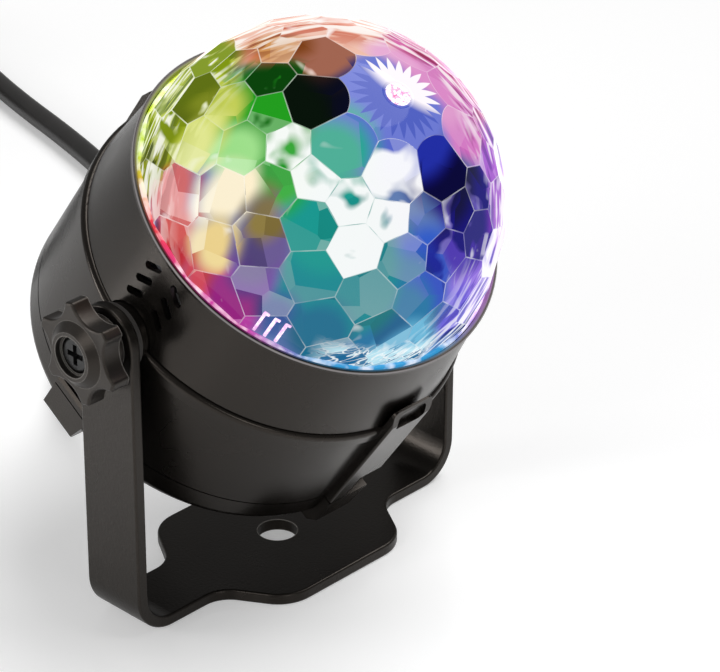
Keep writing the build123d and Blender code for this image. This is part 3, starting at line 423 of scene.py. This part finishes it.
# %% Finishes of the CAD parts
for part in frame["record"]["subparts"]:
    piece = frame["nodes"][part["node"]]
    for k in range(len(piece.data.materials)):
        piece.data.materials[k] = materials[part["material_slot"]]
mains_lead.data.materials.append(materials["cord_black"])

# %% [markdown]
# The dome is a gem: a round block is cut by 99 flat planes, nine wide ones round the pole and
# five rings of eighteen, and only the cap at the pole stays round. Cutting works here as it does
# on a real gem. A profile is spun into a block, and each plane slices a little off and is closed
# by a new flat face. That face is a facet, and its neighbours trim it to a six-sided window. Each
# facet is then inset, which leaves the narrow ridges that glint between the facets.

# %% Cut the dome
dome_radius = 40.0
pivot_height = 69.25
head_lean = radians(55.0)
dome_centre = 21.5
cap_angle = 22.0
ring_step = 12.25
facet_columns = [9, 18, 18, 18, 18, 18]
first_turn = [-7.0, 14.3, 4.3, 14.3, 4.3, 14.3]
dome_wall = 2.4
screw_recess = 2.75
recess_floor = 38.6
skirt_angle = 93.2
block_bottom = -2.4
spare_skin = 1.5
head_axis = Vector((0, -cos(head_lean), sin(head_lean)))
head_up = Vector((0, sin(head_lean), cos(head_lean)))
dome_place = Matrix.Translation(
    (Vector((0, 0, pivot_height)) + head_axis * dome_centre) * mm
) @ Matrix((Vector((1, 0, 0)), head_up, head_axis)).transposed().to_4x4() @ Matrix.Scale(mm, 4)


def facet_direction(ring, column):
    """Direction of one facet from the dome's centre, with half the angle across it."""
    tilt = radians(25.5 + ring_step * ring)
    turn = radians(first_turn[ring] + 360 / facet_columns[ring] * column)
    half_width = 180 / facet_columns[ring] * sin(tilt)
    corner = sqrt(half_width ** 2 + (ring_step / 2) ** 2)
    return Vector((sin(tilt) * cos(turn), sin(tilt) * sin(turn), cos(tilt))), radians(corner)


def arc(radius, start, end, steps):
    """Points of the block's profile on an arc, by angle from the pole."""
    angles = [radians(start + (end - start) * k / steps) for k in range(steps + 1)]
    return [Vector((radius * sin(a), 0, radius * cos(a))) for a in angles]


def spun_block(profile, steps, closed=False):
    """Solid of revolution about Z from a profile that ends on the axis or goes full circle."""
    shape = bmesh.new()
    corners = [shape.verts.new(point) for point in profile]
    followers = [*corners[1:], corners[0]] if closed else corners[1:]
    edges = [shape.edges.new(pair) for pair in zip(corners, followers)]
    bmesh.ops.spin(
        shape, geom=corners + edges, cent=(0, 0, 0), axis=(0, 0, 1), angle=2 * pi,
        steps=steps, use_merge=True,
    )
    bmesh.ops.remove_doubles(shape, verts=shape.verts, dist=0.0005)
    bmesh.ops.recalc_face_normals(shape, faces=shape.faces)
    return shape


recess_angle = degrees(asin(screw_recess / dome_radius))
gem = spun_block([
    Vector((0, 0, recess_floor)), Vector((screw_recess, 0, recess_floor)),
    *arc(dome_radius, recess_angle, cap_angle, 14),
    *arc(dome_radius + spare_skin, cap_angle + 0.5, skirt_angle, 30),
    Vector((0, 0, block_bottom)),
], 108)
for ring, columns in enumerate(facet_columns):
    for column in range(columns):
        direction, corner = facet_direction(ring, column)
        cut = bmesh.ops.bisect_plane(
            gem, geom=gem.verts[:] + gem.edges[:] + gem.faces[:], dist=0.0001,
            plane_co=direction * dome_radius * cos(corner), plane_no=direction, clear_outer=True,
        )
        rim = [g for g in cut["geom_cut"] if isinstance(g, bmesh.types.BMEdge)]
        bmesh.ops.contextual_create(gem, geom=rim)
print("dome faces after cutting", len(gem.faces))

# %% [markdown]
# Two maps are laid on the facets before the dome goes to its place. One gives every point's
# direction from the pole, so that colours can be placed round the dome. The other is flat on
# each facet, so that the broken reflections inside it have its own size and turn. Each facet
# also gets a gleam, a shade and a random seed, kept as attributes that the material reads.


# %% Facets, ridges and maps
def pole_map(point):
    """Place of a point on the flat map round the pole, 0.01 for each degree from the pole."""
    away = degrees(acos(max(-1, min(1, point.normalized().z)))) / 100
    turn = atan2(point.y, point.x)
    return away * cos(turn), away * sin(turn)


def closeness(place, spots):
    """How near a direction is to the nearest of some spots: 1 at a spot, 0 beyond its reach."""
    best = 0
    for away, turn, reach, strength in spots:
        spot = Vector((
            sin(radians(away)) * cos(radians(turn)), sin(radians(away)) * sin(radians(turn)),
            cos(radians(away)),
        ))
        apart = degrees(place.angle(spot))
        best = max(best, strength * ease((reach - apart) / reach * 1.6))
    return best


# Angle from the pole, turn round it, reach in degrees and strength
bright_facets = [
    (50, -136, 8, 0.9), (38, -146, 8, 0.68), (38, -126, 8, 0.78), (38, 174, 7, 0.55),
    (38, -166, 7, 0.5), (26, -127, 9, 0.5), (74, -86, 8, 0.5), (62, -66, 8, 0.5),
    (62, 74, 9, 0.5), (62, 4, 9, 0.5), (50, 34, 9, 0.5), (74, 34, 9, 0.5), (50, 4, 8, 0.45),
    (50, -36, 8, 0.45), (62, -46, 8, 0.45), (38, 74, 7, 0.4),
]
dark_facets = [
    (26, 153, 9, 1.2), (26, 113, 9, 0.87), (38, 134, 7, 0.9), (26, -87, 9, 0.75),
    (38, -86, 7, 0.7), (50, -76, 7, 0.6), (38, -66, 7, 0.6), (74, 144, 6, 0.5),
    (62, 134, 6, 0.86), (62, 114, 6, 0.6), (50, 124, 6, 0.4), (74, 124, 6, 0.4),
    (50, 84, 7, 0.4), (50, -96, 7, 0.5), (38, 154, 7, 0.35),
]
smallest_facet = 8
ridge_width = 0.14
ridge_depth = 0.035
random.seed(7)
gleam = gem.faces.layers.float.new("gleam")
shade = gem.faces.layers.float.new("shade")
ridge = gem.faces.layers.float.new("ridge")
seed = gem.faces.layers.float_vector.new("seed")
facets = [
    face for face in gem.faces
    if face.calc_area() >= smallest_facet and len(face.verts) >= 4 and face.normal.z >= -0.5
]
facets.sort(key=lambda face: [round(part, 3) for part in face.normal])
for face in facets:
    centre = face.calc_center_median_weighted()
    face[gleam] = closeness(centre, bright_facets)
    face[shade] = closeness(centre, dark_facets)
    face[seed] = Vector((random.random(), random.random(), random.random()))
rims = bmesh.ops.inset_individual(
    gem, faces=facets, thickness=ridge_width, depth=ridge_depth)["faces"]
for face in rims:
    face[ridge] = 1.0
    face.smooth = False
print("facets", len(facets), "ridge faces", len(rims))

pole_layer = gem.loops.layers.uv.new("pole_map")
facet_layer = gem.loops.layers.uv.new("facet_map")
for face in gem.faces:
    centre = face.calc_center_median()
    side = Vector((0, 0, 1)).cross(face.normal)
    side = side.normalized() if side.length > 0.01 else Vector((1, 0, 0))
    rise = face.normal.cross(side)
    for loop in face.loops:
        offset = loop.vert.co - centre
        loop[pole_layer].uv = pole_map(loop.vert.co)
        loop[facet_layer].uv = (offset.dot(side) / 10, offset.dot(rise) / 10)

# %% [markdown]
# The real dome is a shell, so the flat bottom goes and the skin gets its wall, inwards. Then the
# dome moves to its place on the head, and it turns with the motor's shaft.

# %% Wall and place of the dome
floor_faces = [f for f in gem.faces if f.normal.z < -0.99 and f.calc_center_median().z < 0]
bmesh.ops.delete(gem, geom=floor_faces, context="FACES")
outer_faces = gem.faces[:]
bmesh.ops.solidify(gem, geom=outer_faces, thickness=dome_wall)
for face in gem.faces:
    face.smooth = len(face.verts) == 4 and face.calc_area() < 3 and face[ridge] == 0
gem.transform(dome_place)
dome_piece = piece_from("dome_facets", gem)
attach(dome_piece, "spinner")
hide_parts("dome")
low = [min(v.co[k] for v in dome_piece.data.vertices) for k in range(3)]
high = [max(v.co[k] for v in dome_piece.data.vertices) for k in range(3)]
print("dome box", [round(v, 4) for v in low], [round(v, 4) for v in high])

# %% [markdown]
# Red, green and blue lamps shine up into the clear dome, and every facet bends their light
# another way, so that the eye sees soft fields of mixed colour, broken up facet by facet. The
# fields are painted as soft spots of colour round the pole, from lime on the left over teal in
# the middle to indigo and pink on the right. The dome gives most of that colour off as light,
# and its clear skin adds the gloss.


# %% Colour fields of the lit dome
def on_map(away, turn):
    """Place on the pole map for an angle from the pole and a turn round it."""
    return (away / 100 * cos(radians(turn)), away / 100 * sin(radians(turn)), 0)


# Angle from the pole, turn round it, size in degrees and colour: later ones lie over earlier ones
colour_fields = [
    (62, 78, 46, colour(244, 214, 202)), (36, 96, 24, colour(236, 186, 166)),
    (46, 56, 18, colour(250, 224, 216)), (40, 14, 22, colour(212, 100, 166)),
    (64, 8, 26, colour(238, 180, 224)), (56, -44, 26, colour(176, 96, 212)),
    (82, -44, 30, colour(216, 176, 244)), (24, -24, 13, colour(206, 108, 190)),
    (64, -78, 17, colour(148, 112, 224)), (43, -80, 14, colour(60, 22, 170)),
    (28, -90, 12, colour(34, 8, 120)), (72, -88, 11, colour(108, 88, 220)),
    (54, -108, 12, colour(50, 92, 198)), (62, -102, 12, colour(48, 80, 190)),
    (70, -114, 18, colour(30, 116, 162)), (84, -106, 14, colour(96, 178, 212)),
    (60, -136, 21, colour(22, 136, 144)), (45, -148, 15, colour(24, 150, 142)),
    (80, -134, 12, colour(28, 108, 140)), (8, -130, 18, colour(92, 108, 206)),
    (19, 0, 11, colour(216, 134, 196)), (17, 40, 7, colour(226, 160, 206)),
    (27, -164, 10, colour(34, 166, 140)),
    (41, 154, 17, colour(34, 160, 30)), (46, -178, 11, colour(36, 166, 44)),
    (53, 166, 8, colour(176, 230, 158)), (72, 124, 24, colour(176, 192, 40)),
    (59, 146, 10, colour(202, 212, 96)), (76, 146, 13, colour(172, 186, 40)),
    (86, 148, 12, colour(150, 160, 40)), (62, 154, 8, colour(222, 228, 142)),
    (78, 162, 10, colour(204, 62, 66)), (87, 176, 11, colour(190, 50, 60)),
    (80, 172, 8, colour(204, 70, 66)), (86, -171, 9, colour(206, 76, 92)),
    (37, 112, 8, colour(206, 146, 84)),
    (62, 175, 9, colour(250, 240, 214)), (75, -176, 7, colour(236, 214, 150)),
    (84, -160, 13, colour(178, 56, 158)), (72, -162, 10, colour(116, 74, 160)),
    (64, -166, 9, colour(106, 90, 146)), (59, -171, 5, colour(140, 122, 66)),
    (78, -148, 8, colour(52, 84, 150)),
]


def map_named(tree, name):
    """Place on one of the dome's maps."""
    node = tree.nodes.new("ShaderNodeUVMap")
    node.uv_map = name
    return node.outputs["UV"]


def attribute(tree, name, output="Fac"):
    """What the facets were given under a name."""
    node = tree.nodes.new("ShaderNodeAttribute")
    node.attribute_type = "GEOMETRY"
    node.attribute_name = name
    return node.outputs[output]


def cell_share(tree, texture):
    """Random number from 0 to 1 for each cell of a Voronoi texture."""
    parts = tree.nodes.new("ShaderNodeSeparateColor")
    tree.links.new(texture.outputs["Color"], parts.inputs["Color"])
    return parts.outputs["Red"]


def nudge(tree, source, size):
    """Shift of up to half the size each way, out of a random vector with parts from 0 to 1."""
    centred = shader_vector(tree, "SUBTRACT", source, (0.5, 0.5, 0.5))
    return shader_vector(tree, "SCALE", centred, scale=size)


field_bend = 0.05
field_fade_in = 0.03
field_fade_out = 0.05
dome_glow, tree, shader = new_material("dome_glow")
pole_place = map_named(tree, "pole_map")
facet_place = map_named(tree, "facet_map")
seed_value = attribute(tree, "seed", "Vector")
inside = shader_vector(
    tree, "ADD", facet_place, shader_vector(tree, "SCALE", seed_value, scale=40.0))
cells = node_at(tree, "ShaderNodeTexVoronoi", Scale=1.0, Randomness=0.9)
tree.links.new(inside, cells.inputs["Vector"])
cell_tone = shader_math(tree, "SUBTRACT", cell_share(tree, cells), 0.5)
bent = shader_vector(tree, "ADD", pole_place, nudge(tree, cells.outputs["Color"], field_bend))
bent = shader_vector(tree, "ADD", bent, nudge(tree, seed_value, field_bend))
flat = shader_vector(tree, "MULTIPLY", bent, (1, 1, 0))
tint = colour(96, 124, 176)
for away, turn, reach, paint in colour_fields:
    apart = shader_vector(tree, "DISTANCE", flat, on_map(away, turn))
    share = ramp_between(
        tree, apart, 1.0, 0.0, reach / 100 - field_fade_in, reach / 100 + field_fade_out,
        smooth=True)
    tint = blend_colours(tree, share, tint, paint)
print("colour fields", len(colour_fields))

# %% [markdown]
# Over the colour fields come the broken reflections: cells of lighter and darker tone in each
# facet, pale and dark streaks where the facets are seen through one another near the rim, an icy
# crackle low on the dome, whole facets that flash white or look down the dark tube of the motor,
# the fluted star at the pole, and the glints on the ridges. Lengths on the pole map are angles
# from the pole, 0.01 for each degree.


# %% Reflections inside the dome
def deeper(tree, paint, power):
    """The same hue, darker and fuller, for the painted shade in the dome's reflections."""
    node = node_at(tree, "ShaderNodeGamma", Gamma=power)
    tree.links.new(paint, node.inputs["Color"])
    return node.outputs["Color"]


def turn_of(tree, place):
    """Angle of a place on a map round the middle of that map."""
    parts = tree.nodes.new("ShaderNodeSeparateXYZ")
    tree.links.new(place, parts.inputs["Vector"])
    return shader_math(tree, "ARCTAN2", parts.outputs["Y"], parts.outputs["X"])


def stretched(tree, first, first_scale, second, second_scale):
    """Place for a pattern whose cells are stretched along one of two directions."""
    node = tree.nodes.new("ShaderNodeCombineXYZ")
    tree.links.new(both(tree, first, first_scale), node.inputs["X"])
    tree.links.new(both(tree, second, second_scale), node.inputs["Y"])
    return node.outputs["Vector"]


calm_spot = on_map(45, -150)
icy_spot = on_map(86, -112)
star_light = on_map(22, 25)
star_radius = 0.15
flute_count = 24
warm_white = colour(253, 252, 248)
from_pole = shader_vector(tree, "LENGTH", pole_place)
round_pole = turn_of(tree, pole_place)
from_calm = shader_vector(tree, "SUBTRACT", pole_place, calm_spot)
calm_side = shader_vector(tree, "LENGTH", from_calm)

# Cells of lighter and darker tone, stronger towards the rim
broken = ramp_between(tree, from_pole, 0.55, 1.0, 0.42, 0.72)
lift = both(tree, broken, ramp_between(tree, cell_tone, 0.0, 0.5, 0.1, 0.5))
drop = both(tree, broken, ramp_between(tree, cell_tone, 0.6, 0.0, -0.5, -0.1))
lit = blend_colours(tree, lift, tint, blend_colours(tree, 0.5, tint, warm_white))
lit = blend_colours(tree, drop, lit, deeper(tree, tint, 2.2))

# Streaks near the rim, which run round the calm spot
streak_place = shader_vector(
    tree, "ADD", stretched(tree, calm_side, 34.0, turn_of(tree, from_calm), 4.0),
    shader_vector(tree, "SCALE", seed_value, scale=4.0))
streaks = noise_at(tree, streak_place, Scale=1.0, Detail=1.5, Distortion=0.2)
near_rim = shader_math(
    tree, "MINIMUM", ramp_between(tree, calm_side, 0.0, 1.0, 0.52, 0.72),
    ramp_between(tree, calm_side, 1.0, 0.12, 0.93, 1.06))
near_rim = both(tree, near_rim, ramp_between(tree, from_pole, 0.0, 1.0, 0.2, 0.25))
pale = ramp_between(tree, streaks.outputs["Fac"], 0.0, 0.95, 0.51, 0.57)
dark = ramp_between(tree, streaks.outputs["Fac"], 0.9, 0.0, 0.4, 0.455)
lit = blend_colours(
    tree, both(tree, near_rim, pale), lit, blend_colours(tree, 0.8, tint, warm_white))
lit = blend_colours(tree, both(tree, near_rim, dark), lit, deeper(tree, tint, 3.2))

# Icy crackle low on the dome
ice_place = shader_vector(
    tree, "ADD", stretched(tree, from_pole, 27.0, round_pole, 6.5),
    nudge(tree, streaks.outputs["Color"], 3.0))
crackle = node_at(tree, "ShaderNodeTexVoronoi", Scale=1.0, Randomness=1.0)
crackle_edge = node_at(tree, "ShaderNodeTexVoronoi", Scale=1.0, Randomness=1.0)
crackle_edge.feature = "DISTANCE_TO_EDGE"
for cracks in (crackle, crackle_edge):
    tree.links.new(ice_place, cracks.inputs["Vector"])
lit_rim = both(
    tree, ramp_between(tree, from_pole, 0.0, 1.0, 0.78, 0.82),
    ramp_between(tree, shader_vector(tree, "DISTANCE", pole_place, icy_spot), 1.0, 0.0, 0.2, 0.34))
ice = blend_colours(
    tree, ramp_between(tree, cell_share(tree, crackle), 0.0, 1.0, 0.3, 0.7),
    colour(20, 104, 150), colour(196, 236, 246))
ice = blend_colours(
    tree, ramp_between(tree, crackle_edge.outputs["Distance"], 1.0, 0.0, 0.03, 0.09), ice,
    colour(248, 254, 254))
lit = blend_colours(tree, both(tree, lit_rim, 0.85), lit, ice)

# Whole facets that flash or go dark, with ragged limits
mottle = noise_at(tree, inside, Scale=1.1, Detail=1.5, Distortion=1.0)
unrest = both(tree, shader_math(tree, "SUBTRACT", mottle.outputs["Fac"], 0.5), 1.6)
from_middle = ramp_between(
    tree, shader_vector(tree, "LENGTH", facet_place), -0.14, 0.1, 0.05, 0.3)
flash = shader_math(tree, "ADD", attribute(tree, "gleam"), from_middle)
flash = ramp_between(tree, shader_math(tree, "ADD", flash, unrest), 0.0, 1.0, 0.37, 0.66)
lit = blend_colours(tree, flash, lit, blend_colours(tree, 0.9, tint, colour(255, 255, 255)))
shade_value = attribute(tree, "shade")
dusk = ramp_between(tree, shader_math(tree, "SUBTRACT", shade_value, unrest), 0.0, 1.0, 0.44, 0.6)
night = ramp_between(tree, shade_value, 0.0, 0.97, 0.72, 1.0)
dusk_tint = blend_colours(tree, night, deeper(tree, tint, 1.9), colour(0, 0, 2))
lit = blend_colours(tree, dusk, lit, dusk_tint)

# Fluted star at the pole, and rays on the cap
flutes = both(tree, round_pole, flute_count / (2 * pi))
petal_noise = noise_at(tree, shader_math(tree, "ROUND", flutes), Scale=9.0, Detail=0.0)
petal_size = ramp_between(tree, petal_noise.outputs["Fac"], 0.02, 0.09, 0.3, 0.7)
flute = shader_math(tree, "PINGPONG", flutes, 0.5)
star_reach = shader_math(
    tree, "SUBTRACT", star_radius, both(tree, flute, both(tree, petal_size, 2.0)))
in_star = ramp_between(tree, shader_math(tree, "SUBTRACT", star_reach, from_pole), 0, 1, 0, 0.006)
towards_light = shader_vector(tree, "DISTANCE", pole_place, star_light)
bright_side = ramp_between(tree, towards_light, 1.0, 0.0, 0.2, 0.24)
star_tint = blend_colours(tree, bright_side, colour(80, 96, 192), colour(255, 248, 252))
lit = blend_colours(tree, in_star, lit, star_tint)
ray = both(
    tree, ramp_between(tree, flute, 0.0, 0.55, 0.42, 0.5),
    ramp_between(tree, petal_noise.outputs["Fac"], 0.0, 1.0, 0.5, 0.6))
in_cap = ramp_between(tree, from_pole, 1.0, 0.0, 0.2, 0.22)
lit = blend_colours(tree, both(tree, ray, in_cap), lit, colour(240, 240, 252))

# Glints on the ridges, and the dome's own light
ridge_noise = noise_at(tree, pole_place, Scale=11.0, Detail=1.0)
ridge_share = both(tree, attribute(tree, "ridge"), both(
    tree, ramp_between(tree, calm_side, 0.5, 0.95, 0.35, 0.8),
    ramp_between(tree, ridge_noise.outputs["Fac"], 0.35, 1.0, 0.42, 0.58)))
lit = blend_colours(tree, ridge_share, lit, blend_colours(tree, 0.6, tint, colour(250, 252, 250)))
tree.links.new(lit, shader.inputs["Emission Color"])
tree.links.new(blend_colours(tree, 0.9, lit, colour(0, 0, 0)), shader.inputs["Base Color"])
shader.inputs["Emission Strength"].default_value = 0.94
shader.inputs["Roughness"].default_value = 0.06
shader.inputs["Specular IOR Level"].default_value = 0.15
shader.inputs["IOR"].default_value = 1.49
dome_piece.data.materials.append(dome_glow)
print("nodes in the dome's material", len(tree.nodes))

# %% [markdown]
# Under the lowest facets the moulding has three groups of three little prongs that hold it on
# its ring. Seen from outside they stand in the glow as pale bars with a hooked end. The screw
# at the pole is clear plastic too, so it glows with the star round it.

# %% Prongs at the rim
prong_turn = -147.7
prong_step = 3.6
prong_radius = 38.62
prong_height = 4.3
prong_size = (0.75, 1.4, 6.0)
hook_size = (1.35, 1.3, 0.75)
hook_offset = Matrix.Translation((0, 0.35, 2.8))
prong_lean = Matrix.Rotation(radians(-3.25), 4, "Y")
prong_bevel = 0.22


def prong_block(shape, width, depth, length, place):
    """Bar with bevelled edges, added to a bmesh at a place."""
    made = bmesh.ops.create_cube(shape, size=1.0)["verts"]
    bmesh.ops.scale(shape, vec=(depth, width, length), verts=made)
    edges = list({e for v in made for e in v.link_edges})
    bevelled = bmesh.ops.bevel(
        shape, geom=edges, offset=prong_bevel, segments=2, profile=0.5, affect="EDGES",
        material=-1)
    verts = list({v for f in bevelled["faces"] for v in f.verts})
    bmesh.ops.transform(shape, matrix=place, verts=verts)


def lit_plastic(name, start, end, dull, bright, strength, **texture):
    """Clear plastic that passes the lamps' light on, in a pattern between two tints."""
    material, tree, shader = new_material(name)
    pattern = noise_at(tree, **texture).outputs["Fac"]
    paint = blend_colours(tree, ramp_between(tree, pattern, 0.0, 1.0, start, end), dull, bright)
    tree.links.new(paint, shader.inputs["Emission Color"])
    tree.links.new(paint, shader.inputs["Base Color"])
    shader.inputs["Emission Strength"].default_value = strength
    shader.inputs["Roughness"].default_value = 0.15
    return material


prongs = bmesh.new()
for group in range(3):
    for k in (-1, 0, 1):
        turn = Matrix.Rotation(radians(prong_turn + 120 * group + prong_step * k), 4, "Z")
        place = turn @ Matrix.Translation((prong_radius, 0, prong_height)) @ prong_lean
        prong_block(prongs, *prong_size, place)
        prong_block(prongs, *hook_size, place @ hook_offset)
prongs.transform(dome_place)
prong_piece = piece_from("rim_prongs", prongs)
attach(prong_piece, "spinner")
prong_piece.data.materials.append(lit_plastic(
    "prong_glow", 0.35, 0.65, colour(214, 160, 210), colour(246, 226, 246), 0.8,
    Scale=900.0, Detail=2.0))
frame["nodes"]["pole_screw"].data.materials[0] = lit_plastic(
    "screw_glow", 0.42, 0.56, colour(214, 132, 170), colour(255, 246, 252), 0.7,
    Scale=700.0, Detail=1.0, Distortion=1.5)
print("prong faces", len(prong_piece.data.polygons))

# %% [markdown]
# The clear moulding ends in a thin foot that stands in the mouth of the drum. Light leaves
# plastic at its cut edges, so the foot is the brightest line of all, and it throws the colours
# of the dome on the lip round it. Both read where they are round the rim from their position,
# and the lip also catches a pale line along its outer edge.

# %% Foot of the dome and glow on the lip
# Turn round the dome, reach and colour: later ones lie over earlier ones
rim_fields = [
    (60, 1.2, colour(250, 206, 190)), (-30, 1.0, colour(206, 132, 236)),
    (138, 0.85, colour(168, 190, 30)), (176, 0.42, colour(210, 58, 70)),
    (-152, 0.5, colour(190, 56, 150)), (-108, 0.6, colour(50, 140, 190)),
]
# Radius and height from the dome's centre, in millimetres
foot_profile = [
    (38.8, 0.0), (39.9, 0.0), (40.15, 0.25), (40.15, 0.8), (39.9, 1.05), (38.8, 1.05),
]
mouth_radii = (40.8, 41.1)
mouth_heights = (-1.5, 0.6)
edge_radii = (41.3, 41.45)
edge_heights = (0.95, 1.15)


def round_the_rim(tree):
    """Direction round the dome's axis, then distance from it and height in millimetres."""
    place = tree.nodes.new("ShaderNodeTexCoord").outputs["Object"]
    place = shader_vector(tree, "SUBTRACT", place, dome_place.translation)
    level = tree.nodes.new("ShaderNodeCombineXYZ")
    for axis, socket in zip((Vector((1, 0, 0)), head_up), ("X", "Y")):
        tree.links.new(shader_vector(tree, "DOT_PRODUCT", place, axis), level.inputs[socket])
    level = level.outputs["Vector"]
    radius = shader_math(tree, "DIVIDE", shader_vector(tree, "LENGTH", level), mm)
    height = shader_math(
        tree, "DIVIDE", shader_vector(tree, "DOT_PRODUCT", place, head_axis), mm)
    return shader_vector(tree, "NORMALIZE", level), radius, height


def rim_paint(tree, direction):
    """Colour of the dome's light at a direction round its rim."""
    paint = colour(230, 220, 236)
    for turn, reach, field_tint in rim_fields:
        spot = (cos(radians(turn)), sin(radians(turn)), 0)
        apart = shader_vector(tree, "DISTANCE", direction, spot)
        share = ramp_between(tree, apart, 1.0, 0.0, reach - 0.2, reach + 0.2)
        paint = blend_colours(tree, share, paint, field_tint)
    return paint


foot = spun_block([Vector((out, 0, up)) for out, up in foot_profile], 144, closed=True)
foot.transform(dome_place)
foot_piece = piece_from("dome_foot", foot)
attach(foot_piece, "spinner")
foot_glow, tree, shader = new_material("foot_glow")
paint = rim_paint(tree, round_the_rim(tree)[0])
sparkle = noise_at(tree, Scale=260.0, Detail=2.0)
edge_light = blend_colours(
    tree, ramp_between(tree, sparkle.outputs["Fac"], 0.0, 0.8, 0.42, 0.62), paint,
    colour(255, 252, 254))
tree.links.new(edge_light, shader.inputs["Emission Color"])
tree.links.new(paint, shader.inputs["Base Color"])
shader.inputs["Emission Strength"].default_value = 0.85
shader.inputs["Roughness"].default_value = 0.1
foot_piece.data.materials.append(foot_glow)

lip_finish = finish("housing_lip", **housing_look)
tree = lip_finish.node_tree
shader = tree.nodes["Principled BSDF"]
direction, radius, height = round_the_rim(tree)
in_mouth = both(
    tree, ramp_between(tree, radius, 0.34, 0.0, *mouth_radii),
    ramp_between(tree, height, 0.0, 1.0, *mouth_heights))
on_edge = both(
    tree, ramp_between(tree, radius, 0.0, 0.3, *edge_radii),
    ramp_between(tree, height, 0.0, 1.0, *edge_heights))
lip_light = blend_colours(tree, in_mouth, colour(0, 0, 0), rim_paint(tree, direction))
lip_light = blend_colours(tree, on_edge, lip_light, colour(226, 220, 222))
tree.links.new(lip_light, shader.inputs["Emission Color"])
shader.inputs["Emission Strength"].default_value = 1.0
front_shell = frame["nodes"]["front_shell"]
for k in range(len(front_shell.data.materials)):
    front_shell.data.materials[k] = lip_finish
print("foot faces", len(foot_piece.data.polygons))

# %% [markdown]
# The floor is a plain pale table top with a weak reflection. It gives off a little light of its
# own where the camera or a reflection sees it, so that it comes out as pale as in the picture. A
# dim white world and one wide sun from above light everything evenly, and three soft panels, on
# the left, behind on the left and in front, give the black plastic its long highlights.

# %% Floor and light
seen_glow = 0.14
camera_glow = 0.17
floor_shape = bmesh.new()
bmesh.ops.create_grid(floor_shape, x_segments=1, y_segments=1, size=4.0)
floor = piece_from("floor", floor_shape)
floor_paint, tree, shader = new_material("floor_paint")
shader.inputs["Base Color"].default_value = (0.9, 0.9, 0.9, 1)
shader.inputs["Roughness"].default_value = 0.1
shader.inputs["Emission Color"].default_value = (1, 1, 1, 1)
rays = tree.nodes.new("ShaderNodeLightPath").outputs
seen = shader_math(tree, "MAXIMUM", rays["Is Camera Ray"], shader_math(
    tree, "MAXIMUM", rays["Is Glossy Ray"], rays["Is Transmission Ray"]))
glow = shader_math(
    tree, "ADD", both(tree, seen, seen_glow), both(tree, rays["Is Camera Ray"], camera_glow))
tree.links.new(glow, shader.inputs["Emission Strength"])
floor.data.materials.append(floor_paint)

world = bpy.data.worlds.new("world")
bpy.context.scene.world = world
world.use_nodes = True
world.node_tree.nodes["Background"].inputs["Color"].default_value = (1, 1, 1, 1)
world.node_tree.nodes["Background"].inputs["Strength"].default_value = 0.2


def new_lamp(name, kind, power, place, direction):
    """New lamp at a place that shines along a direction, and its settings."""
    data = bpy.data.lights.new(name, kind)
    data.energy = power
    lamp = new_object(name, data)
    lamp.location = place
    lamp.rotation_euler = direction.to_track_quat("-Z", "Y").to_euler()
    return data


sun = new_lamp("sun_top", "SUN", 1.9, (0, 0, 0), Vector((-0.47, 0.13, -1.0)))
sun.angle = radians(44)
panel_aim = Vector((0, 0, 0.06))
# Place, width and power of the square panels
panels = {
    "panel_left": ((-0.85, -0.1, 0.5), 0.45, 2.0),
    "panel_back": ((-0.76, 0.61, 0.24), 0.35, 2.4),
    "panel_front": ((-0.35, -0.95, 0.35), 0.35, 1.0),
}
for name, (place, width, power) in panels.items():
    new_lamp(name, "AREA", power, place, panel_aim - Vector(place)).size = width
print("floor faces", len(floor.data.polygons), "panels", len(panels))
